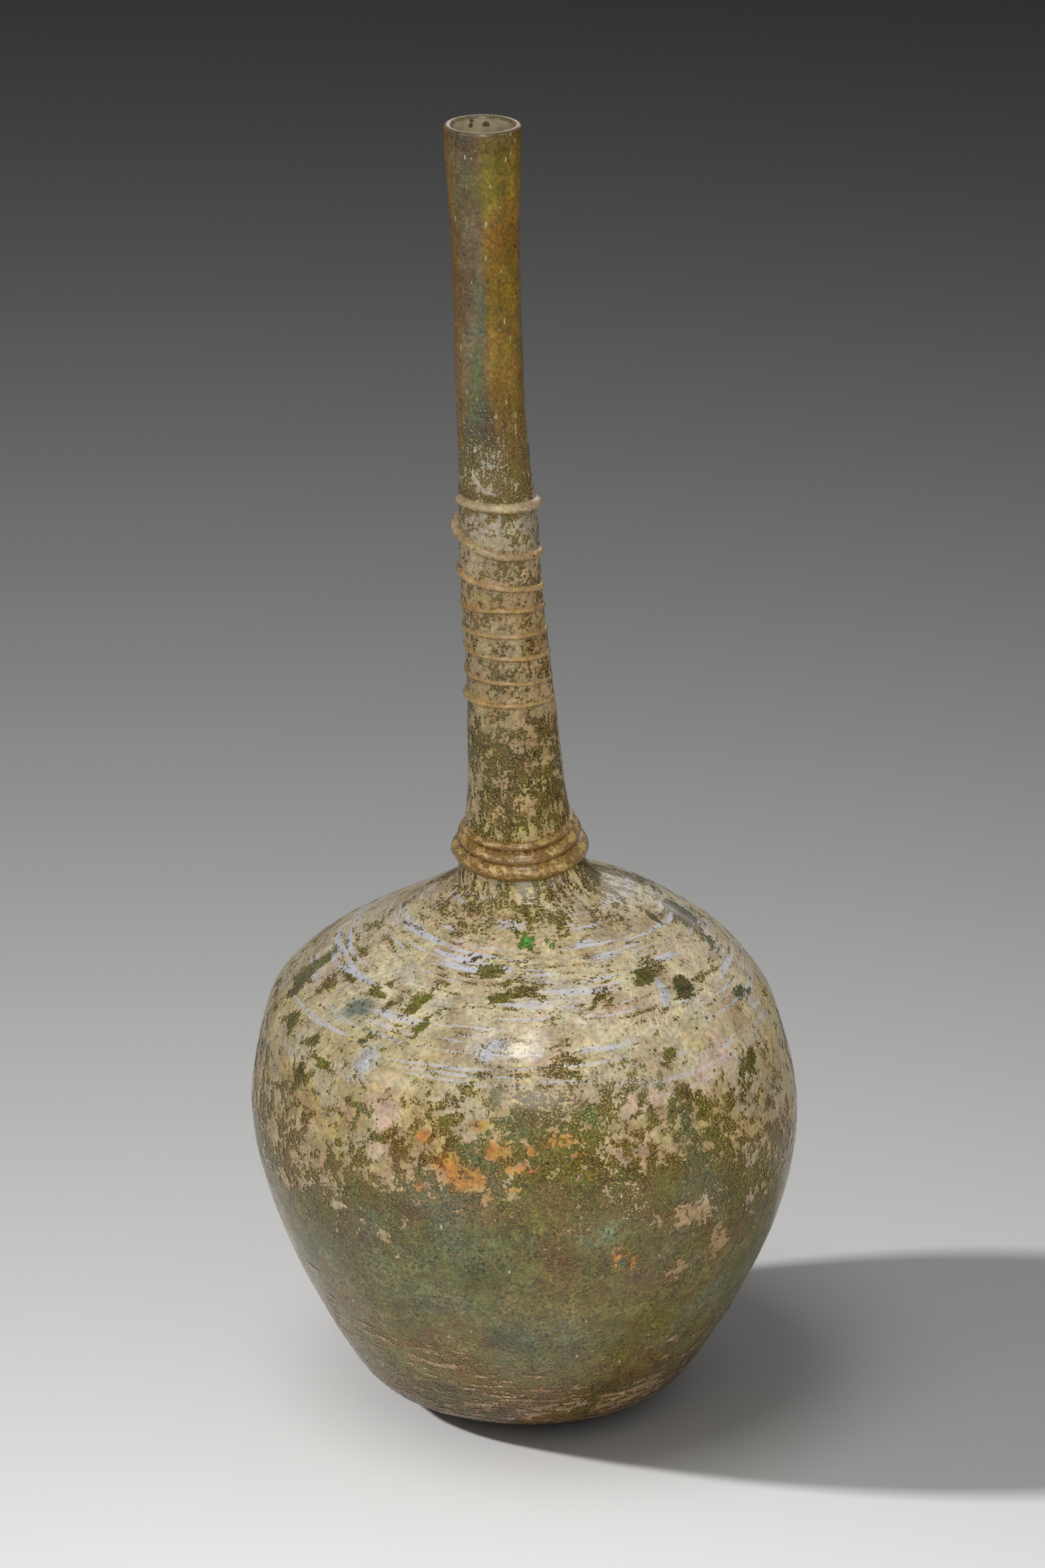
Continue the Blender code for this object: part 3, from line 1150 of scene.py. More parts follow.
class Effects:
    """The effects that more than one material uses, each a node group built once."""

    # How far the fine noise counts beside the coarse one where a layer breaks up.
    fine_share: float = 0.30

    def __init__(self) -> None:
        """Builds the groups."""
        self.breakup = self.build_breakup()
        self.mottle = self.build_mottle()
        self.specks = self.build_specks()

    @staticmethod
    def start(
        name: str, inputs: dict[str, float | str], outputs: dict[str, str]
    ) -> tuple[bpy.types.NodeTree, Graph, bpy.types.NodeOutputs, bpy.types.Node]:
        """Starts a group.

        Args:
            name: The group's name.
            inputs: A default for each value, or the socket type of what has none.
            outputs: The socket type of each output.

        Returns:
            The tree, a Graph on it, the inputs by name, and the node to join outputs to.
        """
        tree = bpy.data.node_groups.new(name, "ShaderNodeTree")
        for label, given in inputs.items():
            kind = given if isinstance(given, str) else "NodeSocketFloat"
            socket = tree.interface.new_socket(label, in_out="INPUT", socket_type=kind)
            if not isinstance(given, str):
                socket.default_value = given
        for label, kind in outputs.items():
            tree.interface.new_socket(label, in_out="OUTPUT", socket_type=kind)
        source = tree.nodes.new("NodeGroupInput")
        sink = tree.nodes.new("NodeGroupOutput")
        return tree, Graph(tree), source.outputs, sink

    def build_breakup(self) -> bpy.types.NodeTree:
        """A layer that breaks up where its coverage falls: ragged plates with crumbs between.

        Returns:
            The group. Its Mask is 1 on the layer, its Plates is 1 on the plates alone, and its
            Depth grows away from the edges of the plates.
        """
        tree, graph, given, sink = self.start(
            "Breakup",
            {
                "Vector": "NodeSocketVector",
                "Around": "NodeSocketVector",
                "Coverage": 0.5,
                "Hoops": 0.0,
                "Runs": 0.0,
                "Coarse Scale": 390.0,
                "Fine Scale": 1500.0,
                "Softness": 0.06,
            },
            dict.fromkeys(("Mask", "Plates", "Depth"), "NodeSocketFloat"),
        )
        coarse = graph.clouds(given["Vector"], given["Coarse Scale"], 4.0, 0.4)
        fine = graph.clouds(given["Vector"], given["Fine Scale"], 3.0)
        # Around holds a circle of radius 1 and the way up the wall in metres. Lumps much wider
        # than high make hoops, and lumps that are higher than wide on the neck make runs.
        hoops = graph.clouds(graph.scaled(given["Around"], (7.0, 7.0, 800.0)), 1.0, 4.0)
        runs = graph.clouds(graph.scaled(given["Around"], (11.0, 11.0, 260.0)), 1.0, 5.0)
        level = graph.blend(given["Hoops"], coarse, hoops)
        level = graph.blend(given["Runs"], level, runs)
        level = graph.blend(self.fine_share, level, fine)
        # The noise lies mostly from 0.34 to 0.66, so it is stretched to fill 0 to 1. The coverage
        # is widened a little past both ends, so that 0 is quite bare and 1 is whole.
        level = graph.maths("MULTIPLY_ADD", level, 3.2, -1.1, clamp=True)
        wide = graph.maths("MULTIPLY_ADD", given["Coverage"], 1.16, -0.08)
        depth = graph.maths("SUBTRACT", wide, level)
        low = graph.maths("MULTIPLY", given["Softness"], -1.0)
        plates = graph.span(depth, low, given["Softness"])
        # The crumbs come from a finer noise, and thin out more slowly than the plates.
        dust = graph.clouds(given["Vector"], graph.maths("MULTIPLY", given["Fine Scale"], 1.7))
        dust = graph.maths("MULTIPLY_ADD", dust, 3.0, -1.0, clamp=True)
        sown = graph.maths("POWER", given["Coverage"], 0.75)
        sown = graph.maths("MULTIPLY_ADD", sown, 0.66, -0.03)
        crumbs = graph.span(graph.maths("SUBTRACT", sown, dust), -0.10, 0.10)
        tree.links.new(graph.maths("MAXIMUM", plates, crumbs), sink.inputs["Mask"])
        tree.links.new(plates, sink.inputs["Plates"])
        tree.links.new(graph.span(depth, low, 0.35), sink.inputs["Depth"])
        return tree

    def build_mottle(self) -> bpy.types.NodeTree:
        """Uneven colour, lighter and darker and a little warmer and cooler.

        Returns:
            The group.
        """
        tree, graph, given, sink = self.start(
            "Mottle",
            {
                "Vector": "NodeSocketVector",
                "Color": "NodeSocketColor",
                "Scale": 300.0,
                "Light": 0.3,
                "Hue": 0.02,
            },
            {"Color": "NodeSocketColor"},
        )
        lumps = graph.clouds(given["Vector"], given["Scale"], 5.0)
        other = graph.clouds(graph.scaled(given["Vector"], (1.3, 1.3, 1.3)), given["Scale"], 3.0)
        swing = graph.maths("MULTIPLY_ADD", lumps, 2.0, -1.0)
        turn = graph.maths("MULTIPLY_ADD", other, 2.0, -1.0)
        hue = graph.maths("MULTIPLY_ADD", turn, given["Hue"], 0.5)
        light = graph.maths("MULTIPLY_ADD", swing, given["Light"], 1.0)
        node = graph.give(graph.add("HueSaturation"), Color=given["Color"], Hue=hue, Value=light)
        tree.links.new(node.outputs[0], sink.inputs["Color"])
        return tree

    def build_specks(self) -> bpy.types.NodeTree:
        """Scattered specks of different sizes.

        Returns:
            The group. Its Mask is 1 on a speck.
        """
        tree, graph, given, sink = self.start(
            "Specks",
            {"Vector": "NodeSocketVector", "Scale": 900.0, "Amount": 0.2, "Radius": 0.25},
            {"Mask": "NodeSocketFloat"},
        )
        cells = graph.add("TexVoronoi")
        graph.give(cells, Vector=given["Vector"], Scale=given["Scale"])
        draw = graph.add("SeparateColor")
        graph.feed(draw, 0, cells.outputs["Color"])
        chosen = graph.maths("LESS_THAN", draw.outputs[0], given["Amount"])
        reach = graph.maths("MULTIPLY", given["Radius"], draw.outputs[1])
        spot = graph.span(cells.outputs["Distance"], reach, graph.maths("MULTIPLY", reach, 0.7))
        tree.links.new(graph.maths("MULTIPLY", spot, chosen), sink.inputs["Mask"])
        return tree


class Surface(Graph):
    """The graph of a new material, with its shader and the place on the object in metres."""

    def __init__(self, name: str, effects: Effects | None = None) -> None:
        """Starts a material.

        Args:
            name: The material's name.
            effects: The shared groups, if it uses any.
        """
        self.material = bpy.data.materials.new(name)
        self.material.use_nodes = True
        super().__init__(self.material.node_tree)
        self.shader = self.tree.nodes["Principled BSDF"]
        self.effects = effects
        self.place = self.add("TexCoord").outputs["Object"]

    def bump(self, height: Socket, strength: float, depth: float) -> None:
        """Gives the material fine relief.

        Args:
            height: The relief.
            strength: How plainly it shows.
            depth: How many metres a height of 1 stands for.
        """
        node = self.give(self.add("Bump"), Strength=strength, Distance=depth, Height=height)
        self.feed(self.shader, "Normal", node.outputs[0])


@dataclass(frozen=True)
class Mottle:
    """Uneven colour: its lumps to a metre, and how far its light and its hue swing."""

    scale: float
    light: float
    hue: float

    def over(self, surface: Surface, colour: Socket) -> Socket:
        """Makes a colour uneven.

        Args:
            surface: The material's graph.
            colour: The colour.

        Returns:
            The uneven colour.
        """
        node = surface.group(
            surface.effects.mottle,
            Vector=surface.place,
            Color=colour,
            Scale=self.scale,
            Light=self.light,
            Hue=self.hue,
        )
        return node.outputs["Color"]


@dataclass(frozen=True)
class Specks:
    """Scattered specks: cells to a metre, the share that has one, their size and their colour."""

    scale: float
    amount: float
    radius: float
    colour: Colour
    stretch: tuple[float, float, float] = (1.0, 1.0, 1.0)

    def over(self, surface: Surface, colour: Socket) -> Socket:
        """Scatters the specks over a colour.

        Args:
            surface: The material's graph.
            colour: The colour.

        Returns:
            The colour with the specks.
        """
        node = surface.group(
            surface.effects.specks,
            Vector=surface.scaled(surface.place, self.stretch),
            Scale=self.scale,
            Amount=self.amount,
            Radius=self.radius,
        )
        return surface.mix(node.outputs["Mask"], colour, solid(self.colour))


@dataclass(frozen=True)
class Stain:
    """Soft stains in the film: their lumps to a metre and their colour."""

    scale: float
    colour: Colour

    def over(self, surface: Surface, colour: Socket, strength: float) -> Socket:
        """Stains a colour.

        Args:
            surface: The material's graph.
            colour: The colour.
            strength: How much of the stain to lay where it is whole.

        Returns:
            The stained colour.
        """
        mask = surface.span(surface.clouds(surface.place, self.scale, 6.0, 1.2), 0.52, 0.62)
        return surface.mix(surface.maths("MULTIPLY", mask, strength), colour, solid(self.colour))


@dataclass(frozen=True)
class GlassFinish:
    """Tinted glass with a mottled film on its far side, seen through a smooth surface."""

    name: str = "filmed_glass"
    transmission: float = 0.25
    refraction: float = 1.45
    specular: float = 0.4
    roughness: tuple[float, float] = (0.16, 0.34)
    coat: float = 0.35
    coat_roughness: float = 0.12
    coat_tint: Colour = (1.0, 0.93, 0.72)
    stain: float = 0.36
    uneven: float = 0.95
    hue: float = 0.055
    # Lumps to a metre, and the swing of the light as a share of uneven.
    mottles: tuple[tuple[float, float], ...] = ((90.0, 0.8), (330.0, 0.7), (1500.0, 2.0))
    stains: tuple[Stain, ...] = (
        Stain(170.0, (0.200, 0.100, 0.025)),
        Stain(210.0, (0.190, 0.215, 0.040)),
        Stain(260.0, (0.050, 0.045, 0.012)),
    )
    dots: Specks = Specks(900.0, 0.10, 0.26, (0.440, 0.320, 0.150))
    dark: Specks = Specks(620.0, 0.05, 0.22, (0.030, 0.024, 0.008))
    nicks: Specks = Specks(1000.0, 0.06, 0.30, (0.720, 0.670, 0.520), (1.0, 1.0, 0.35))
    relief: float = 0.16
    relief_depth: float = 0.0004

    def film(self, surface: Surface) -> Socket:
        """Builds the colour of the film.

        Args:
            surface: The material's graph.

        Returns:
            The colour.
        """
        colour = surface.attribute("film", "Color")
        for scale, light in self.mottles:
            colour = Mottle(scale, light * self.uneven, self.hue).over(surface, colour)
        for stain in self.stains:
            colour = stain.over(surface, colour, self.stain)
        for specks in (self.dots, self.dark, self.nicks):
            colour = specks.over(surface, colour)
        return colour

    def build(self, effects: Effects) -> bpy.types.Material:
        """Builds the material.

        Args:
            effects: The shared groups.

        Returns:
            The material.
        """
        surface = Surface(self.name, effects)
        patches = surface.clouds(surface.place, 260.0)
        surface.give(
            surface.shader,
            Base_Color=self.film(surface),
            Roughness=surface.span(patches, 0.3, 0.7, *self.roughness),
            Transmission_Weight=self.transmission,
            IOR=self.refraction,
            Specular_IOR_Level=self.specular,
            Coat_Weight=self.coat,
            Coat_Roughness=self.coat_roughness,
            Coat_Tint=solid(self.coat_tint),
        )
        waves = surface.clouds(surface.place, 180.0, 2.0)
        fine = surface.clouds(surface.place, 1500.0, 2.0)
        height = surface.maths("MULTIPLY_ADD", fine, 0.15, waves)
        surface.bump(height, self.relief, self.relief_depth)
        return surface.material


AMBER_GLASS = GlassFinish(
    name="amber_glass",
    transmission=0.45,
    coat=0.15,
    coat_tint=(1.0, 0.84, 0.48),
    stain=0.22,
    uneven=0.55,
    hue=0.035,
    dark=replace(GlassFinish.dark, amount=0.03),
    nicks=replace(GlassFinish.nicks, amount=0.36),
)


@dataclass(frozen=True)
class LiningFinish:
    """The dull, dusty film on the inside of the glass."""

    dust: Colour = (0.34, 0.29, 0.21)
    dustiness: float = 0.60
    roughness: float = 0.6
    mottle: Mottle = Mottle(420.0, 0.5, 0.02)
    brown: Specks = Specks(600.0, 0.50, 0.60, (0.070, 0.045, 0.015))
    relief: float = 0.4
    relief_depth: float = 0.0002

    def build(self, effects: Effects) -> bpy.types.Material:
        """Builds the material.

        Args:
            effects: The shared groups.

        Returns:
            The material.
        """
        surface = Surface("inner_film", effects)
        film = surface.attribute("film", "Color")
        colour = surface.mix(self.dustiness, film, solid(self.dust))
        colour = self.brown.over(surface, self.mottle.over(surface, colour))
        surface.give(surface.shader, Base_Color=colour, Roughness=self.roughness)
        surface.bump(surface.clouds(surface.place, 900.0), self.relief, self.relief_depth)
        return surface.material


@dataclass(frozen=True)
class CrustFinish:
    """The pale weathering crust: chalky, pitted and lightly polished by handling."""

    roughness: tuple[float, float] = (0.40, 0.62)
    coat: float = 0.50
    coat_roughness: float = 0.14
    # What the crumbs between the plates are multiplied by.
    crumb_stain: Colour = (0.78, 0.68, 0.38)
    line: Colour = (0.64, 0.64, 0.70)
    mottles: tuple[Mottle, ...] = (Mottle(260.0, 0.6, 0.05), Mottle(1100.0, 0.7, 0.03))
    pits: tuple[Specks, ...] = (
        Specks(560.0, 0.20, 0.28, (0.095, 0.070, 0.022)),
        Specks(1500.0, 0.42, 0.36, (0.095, 0.070, 0.022)),
    )
    relief: float = 0.7
    relief_depth: float = 0.00025

    @staticmethod
    def layer(surface: Surface, **values: float) -> bpy.types.Node:
        """Places the group that breaks the crust up.

        Args:
            surface: The material's graph.
            values: Further inputs of the group.

        Returns:
            The group's node.
        """
        hoops, runs, _ = surface.parts(surface.attribute("grain", "Vector"))
        inputs = {"Hoops": hoops, "Runs": runs, **values}
        return surface.group(
            surface.effects.breakup,
            Vector=surface.place,
            Around=surface.attribute("around", "Vector"),
            Coverage=surface.attribute("coverage", "Fac"),
            **inputs,
        )

    def colour(self, surface: Surface, plates: Socket) -> Socket:
        """Builds the crust's colour, with the painted highlight on the shoulder.

        Args:
            surface: The material's graph.
            plates: 1 on the crust's plates, and 0 on the crumbs between them.

        Returns:
            The colour.
        """
        whole = surface.attribute("crust_and_highlight_colour", "Color")
        stained = surface.mix(1.0, whole, solid(self.crumb_stain), "MULTIPLY")
        colour = surface.mix(plates, stained, whole)
        for mottle in self.mottles:
            colour = mottle.over(surface, colour)
        colour = surface.mix(self.lines(surface), colour, solid(self.line))
        for pits in self.pits:
            colour = pits.over(surface, colour)
        return colour

    @staticmethod
    def lines(surface: Surface) -> Socket:
        """Builds the mask of the fine pale lines that run round the shoulder.

        Args:
            surface: The material's graph.

        Returns:
            The mask.
        """
        around = surface.attribute("around", "Vector")
        fine = surface.clouds(surface.scaled(around, (1.8, 1.8, 900.0)), 1.0, 4.0)
        broad = surface.clouds(surface.scaled(around, (2.4, 2.4, 160.0)), 1.0, 2.0)
        line, zone = surface.span(fine, 0.51, 0.60), surface.span(broad, 0.42, 0.56)
        _, _, lined = surface.parts(surface.attribute("grain", "Vector"))
        return surface.maths("MULTIPLY", surface.maths("MULTIPLY", line, zone), lined)

    def build(self, effects: Effects) -> bpy.types.Material:
        """Builds the material, which is open where the crust is gone.

        Args:
            effects: The shared groups.

        Returns:
            The material.
        """
        surface = Surface("weathering_crust", effects)
        layer = self.layer(surface)
        patches = surface.clouds(surface.place, 500.0)
        surface.give(
            surface.shader,
            Base_Color=self.colour(surface, layer.outputs["Plates"]),
            Alpha=layer.outputs["Mask"],
            Roughness=surface.span(patches, 0.3, 0.7, *self.roughness),
            Coat_Weight=self.coat,
            Coat_Roughness=self.coat_roughness,
        )
        grain = surface.clouds(surface.place, 1300.0, 4.0)
        height = surface.maths("MULTIPLY_ADD", grain, 0.5, layer.outputs["Depth"])
        surface.bump(height, self.relief, self.relief_depth)
        return surface.material


@dataclass(frozen=True)
class TrailFinish:
    """The thread and the collar: amber glass that shows between cream crust."""

    amber: Colour = (0.230, 0.098, 0.014)
    amber_share: float = 0.65
    warmth: Colour = (1.000, 0.840, 0.560)
    warmth_share: float = 0.75
    mottle: Mottle = Mottle(500.0, 0.6, 0.02)
    # On the bare glass and on the crust.
    roughness: tuple[float, float] = (0.18, 0.46)
    coat: float = 0.5
    coat_roughness: float = 0.2
    # How the crust breaks up here: softer than on the wall, and always partly in hoops.
    coarse_scale: float = 420.0
    softness: float = 0.16
    hoops: float = 0.55
    relief: float = 0.6
    relief_depth: float = 0.0002

    def build(self, effects: Effects) -> bpy.types.Material:
        """Builds the material.

        Args:
            effects: The shared groups.

        Returns:
            The material.
        """
        surface = Surface("trailed_glass", effects)
        layer = CrustFinish.layer(
            surface,
            Coarse_Scale=self.coarse_scale,
            Softness=self.softness,
            Hoops=self.hoops,
            Runs=0.0,
        )
        mask = layer.outputs["Mask"]
        crust = CrustFinish().colour(surface, layer.outputs["Plates"])
        crust = surface.mix(self.warmth_share, crust, solid(self.warmth), "MULTIPLY")
        film = surface.attribute("film", "Color")
        glass = self.mottle.over(surface, surface.mix(self.amber_share, film, solid(self.amber)))
        surface.give(
            surface.shader,
            Base_Color=surface.mix(mask, glass, crust),
            Roughness=surface.span(mask, 0.0, 1.0, *self.roughness),
            Coat_Weight=self.coat,
            Coat_Roughness=self.coat_roughness,
        )
        grain = surface.clouds(surface.place, 1100.0, 4.0)
        height = surface.maths("MULTIPLY_ADD", grain, 0.6, mask)
        surface.bump(height, self.relief, self.relief_depth)
        return surface.material


@dataclass(frozen=True)
class FloorWithPaintedLightPool:
    """Pale matt paper with a painted pool of light: it darkens smoothly away from where the bottle
    stands.
    """

    near: float = 0.79
    fall_off: float = 0.41
    middle: tuple[float, float, float] = (0.0, -0.30, 0.0)
    plateau: float = 0.16
    least: float = 0.016
    tint: Colour = (1.0, 0.99, 0.985)
    roughness: float = 0.95
    specular: float = 0.1

    def build(self) -> bpy.types.Material:
        """Builds the material.

        Returns:
            The material.
        """
        surface = Surface("paper_with_painted_light_pool")
        # Painted pool of light: the paper's colour is brightest near the bottle and falls off with
        # distance.
        away = surface.add("VectorMath", operation="DISTANCE")
        surface.feed(away, 0, surface.place)
        surface.feed(away, 1, self.middle)
        past = surface.maths("SUBTRACT", away.outputs["Value"], self.plateau)
        past = surface.maths("MAXIMUM", past, 0.0)
        power = surface.maths("DIVIDE", past, -self.fall_off)
        level = surface.maths("MULTIPLY", surface.maths("EXPONENT", power), self.near)
        level = surface.maths("MAXIMUM", level, self.least)
        shares = [surface.maths("MULTIPLY", level, share) for share in self.tint]
        grey = surface.add("CombineColor")
        surface.give(grey, **dict(zip(("Red", "Green", "Blue"), shares)))
        surface.give(
            surface.shader,
            Base_Color=grey.outputs[0],
            Roughness=self.roughness,
            Specular_IOR_Level=self.specular,
        )
        return surface.material


# Pieces


@dataclass
class Piece:
    """Something that belongs to the bottle and is tied to it."""

    form: BlownForm
    weathering: Weathering
    effects: Effects

    def tie(self, piece: bpy.types.Object) -> bpy.types.Object:
        """Paints a piece and ties it to the part.

        Args:
            piece: The piece.

        Returns:
            The same piece.
        """
        self.weathering.paint(piece)
        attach(piece, Body.ROOT.value)
        LOG.info("%s: %d faces", piece.name, len(piece.data.polygons))
        return piece


@dataclass
class Wall(Piece):
    """The blown wall: one closed shell, outside and inside."""

    body_segments: int = 320
    neck_segments: int = 160
    inner_segments: int = 80
    body_spacing: float = 0.0010
    neck_spacing: float = 0.0009
    inner_spacing: float = 0.0022
    waviness: float = 0.00012
    wave: float = 0.012
    amber_from: float = 0.2005
    # The waves grow from nothing at the foot to their full size at this height.
    true_below: float = 0.006
    # How far up the neck the rings change from the body's segments to the neck's, as a share.
    seam_share: float = 0.06
    # Shares of the push-up's radius and of its depth, from its middle out.
    push_up_shares: tuple[tuple[float, float], ...] = ((0.02, 1.00), (0.50, 0.75), (0.92, 0.08))
    foot_share: float = 0.98
    # A ring on the inner floor: its share of the floor's radius, and how far it lies lower.
    floor_share: float = 0.6
    floor_dip: float = 0.0014
    lip_steps: int = 5

    def outer_rows(self) -> list[tuple[np.ndarray, int]]:
        """Lists the rows of the outside from the foot to the lip.

        Returns:
            Each row with the number of its segments.
        """
        line = self.form.outside
        seam = self.form.body_height + self.seam_share * self.form.neck_height
        body = evenly(line[line[:, 1] <= seam], self.body_spacing)
        neck = evenly(line[line[:, 1] > seam], self.neck_spacing)
        return [(row, self.body_segments) for row in body] + [
            (row, self.neck_segments) for row in neck
        ]

    def ripple(self, points: np.ndarray) -> np.ndarray:
        """How far the outside stands out from the true form at each point."""
        return self.waviness * cloud(points, self.wave, 2) + self.weathering.blister_rise(points)

    def base_rows(self) -> np.ndarray:
        """Draws the underside from its middle out to the foot.

        Returns:
            Rows of radius, height and place aside.
        """
        form = self.form
        aside = form.body_shares[0][2] * form.body_radius
        rim, depth = form.push_up_radius, form.push_up_depth
        points = [(out * rim, up * depth) for out, up in self.push_up_shares]
        points += [(rim, 0.0), (self.foot_share * form.foot_radius, 0.0)]
        line = np.array([(radius, height, aside) for radius, height in points])
        return evenly(line, 2 * self.body_spacing)

    def lip_rows(self) -> np.ndarray:
        """Draws the rounded lip from its outside over the top and into the mouth.

        Returns:
            Rows of radius, height and place aside.
        """
        form = self.form
        radius, round_, top = form.lip_radius, form.lip_rounding, form.top
        bore = radius - form.neck_wall
        aside = form.root_aside - form.lean
        rows = []
        for middle, start in ((radius - round_, 0.0), (bore + round_, 90.0)):
            for turn in np.radians(np.linspace(start, start + 90.0, self.lip_steps)):
                out, down = round_ * math.cos(turn), round_ * (math.sin(turn) - 1)
                rows.append((middle + out, top + down, aside))
        return np.array(rows)

    def add_outside(self, mesh: RingMesh) -> None:
        """Adds the underside, the outside and the lip.

        Args:
            mesh: The rings so far.
        """
        under = self.base_rows()
        mesh.add(np.array([(under[0][2], 0.0, self.form.push_up_depth)]))
        for row in under:
            mesh.add(ring_at(row, circle(self.body_segments)))
        for row, segments in self.outer_rows():
            angles = circle(segments)
            grown = np.interp(row[1], (0, self.true_below), (0, 1))
            out = self.ripple(ring_at(row, angles)) * grown
            part = WallPart.UPPER_NECK if row[1] > self.amber_from else WallPart.BODY
            mesh.add(ring_at(row, angles, out), part)
        for row in self.lip_rows():
            mesh.add(ring_at(row, circle(self.neck_segments)), WallPart.UPPER_NECK)

    def add_inside(self, mesh: RingMesh) -> None:
        """Adds the inside, from the mouth down to the middle of the floor.

        Args:
            mesh: The rings so far.
        """
        form = self.form
        rows = evenly(form.inside(), self.inner_spacing)[::-1]
        for row in rows[rows[:, 1] < form.top - 2 * form.lip_rounding]:
            mesh.add(ring_at(row, circle(self.inner_segments)), WallPart.LINING)
        middle = form.base_wall + form.push_up_depth
        rim, _, aside = rows[-1]
        lower = (self.floor_share * rim, middle - self.floor_dip, aside)
        mesh.add(ring_at(lower, circle(self.inner_segments)), WallPart.LINING)
        mesh.add(np.array([(aside, 0.0, middle)]), WallPart.LINING)

    def build(self) -> bpy.types.Object:
        """Builds the wall.

        Returns:
            The piece, which stands for the part's bottle.
        """
        mesh = RingMesh()
        self.add_outside(mesh)
        self.add_inside(mesh)
        finishes = (GlassFinish(), LiningFinish(), AMBER_GLASS)
        wall = self.tie(mesh.make("glass_wall", [f.build(self.effects) for f in finishes]))
        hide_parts(Body.NODE.value)
        return wall


@dataclass
class Crust(Piece):
    """The crust: a thin skin over the outside of the wall, from foot to lip."""

    wall: Wall
    thickness: float = 0.00010
    roughness: float = 0.00016
    lump: float = 0.003
    foot_bare: float = 0.0006

    def build(self) -> bpy.types.Object:
        """Builds the crust.

        Returns:
            The piece.
        """
        mesh = RingMesh()
        rows = [pair for pair in self.wall.outer_rows() if pair[0][1] > self.foot_bare]
        for row, segments in rows:
            angles = circle(segments)
            points = ring_at(row, angles)
            lumps = np.clip(0.5 + cloud(points, self.lump), 0, 1)
            thick = self.thickness + self.roughness * lumps * self.weathering.coverage(points)
            mesh.add(ring_at(row, angles, self.wall.ripple(points) + thick))
        return self.tie(mesh.make("crust", [CrustFinish().build(self.effects)]))


@dataclass
class Rope(Piece):
    """A rope of glass laid round the neck and fused to it."""

    name: str
    start_turn: float
    end_turn: float
    segments_a_turn: int = 80
    sides: int = 14
    # How far the rope's middle and its back lie inside the wall.
    middle_sunk: float = 0.0003
    back_sunk: float = 0.0010
    # The least share that crust covers on the front, and how much of it is gone below, baring dark
    # glass as painted shade under the rope, and above.
    least_cover: float = 0.80
    bared_below_as_shade: float = 0.75
    clean_above: float = 0.15
    # How uneven it is: swings to a turn, and how far they change its thickness, as a share, and
    # its height.
    swings: float = 2.2
    swing_share: float = 0.10
    swing_up: float = 0.00012
    # The steps in which each end rounds off, and the size of its point.
    end_steps: int = 3
    end_point: float = 0.02

    def section(self, turn: float) -> tuple[float, float, float]:
        """Reads the rope's height, how far it stands out and half its own height, in metres.

        Args:
            turn: Turns from the left of the neck.

        Returns:
            The three sizes.
        """
        raise NotImplementedError

    def ring(self, turn: float, size: float) -> np.ndarray:
        """Places one ring of the rope.

        Args:
            turn: Turns from the left of the neck.
            size: The ring's share of the rope's full size.

        Returns:
            The points.
        """
        line, sides = self.form.outside, circle(self.sides)
        height, proud, half = self.section(min(max(turn, self.start_turn), self.end_turn))
        swing = noise.fractal(Vector((self.swings * turn, 0.3, 0.7)), 1.0, 2.0, 3)
        reach = proud * (1 + self.swing_share * swing) * size
        up = height + half * size * np.sin(sides) + self.swing_up * swing
        deep = np.where(np.cos(sides) > 0, reach + self.middle_sunk, self.back_sunk)
        out = deep * np.cos(sides) - self.middle_sunk
        radius = np.interp(up, line[:, 1], line[:, 0]) + out
        aside = np.interp(up, line[:, 1], line[:, 2])
        angle = math.pi + math.tau * turn
        x, y = aside + radius * math.cos(angle), radius * math.sin(angle)
        return np.stack([x, y, up], axis=1)

    def lay_crust(self, rope: bpy.types.Object) -> None:
        """Covers the rope's front with crust, bares it below as painted shade under the rope, and
        leaves it cleaner above.

        Args:
            rope: The rope, painted.
        """
        layer = rope.data.attributes["coverage"]
        share = np.empty(len(rope.data.vertices), dtype=np.float32)
        layer.data.foreach_get("value", share)
        rings = (len(share) - 2) // self.sides
        lift = np.concatenate([[0.0], np.tile(np.sin(circle(self.sides)), rings), [0.0]])
        # Painted shade: the crust is taken off the rope's underside, so dark glass shows where the
        # rope overhangs.
        lost = np.interp(lift, (-0.8, 0.0, 0.5, 1.0), (self.bared_below_as_shade, 0, 0, self.clean_above))
        kept = np.maximum(share, self.least_cover) * (1 - lost)
        layer.data.foreach_set("value", kept.astype(np.float32))

    def build(self) -> bpy.types.Object:
        """Builds the rope with rounded ends.

        Returns:
            The piece.
        """
        turns = self.end_turn - self.start_turn
        count = math.ceil(turns * self.segments_a_turn)
        mesh = RingMesh()
        for step in range(-self.end_steps, count + self.end_steps + 1):
            over = max(0, -step, step - count) / self.end_steps
            size = math.sqrt(1 - over**2) or self.end_point
            mesh.add(self.ring(self.start_turn + turns * step / count, size))
        mesh.close_ends()
        rope = self.tie(mesh.make(self.name, [TrailFinish().build(self.effects)]))
        self.lay_crust(rope)
        return rope


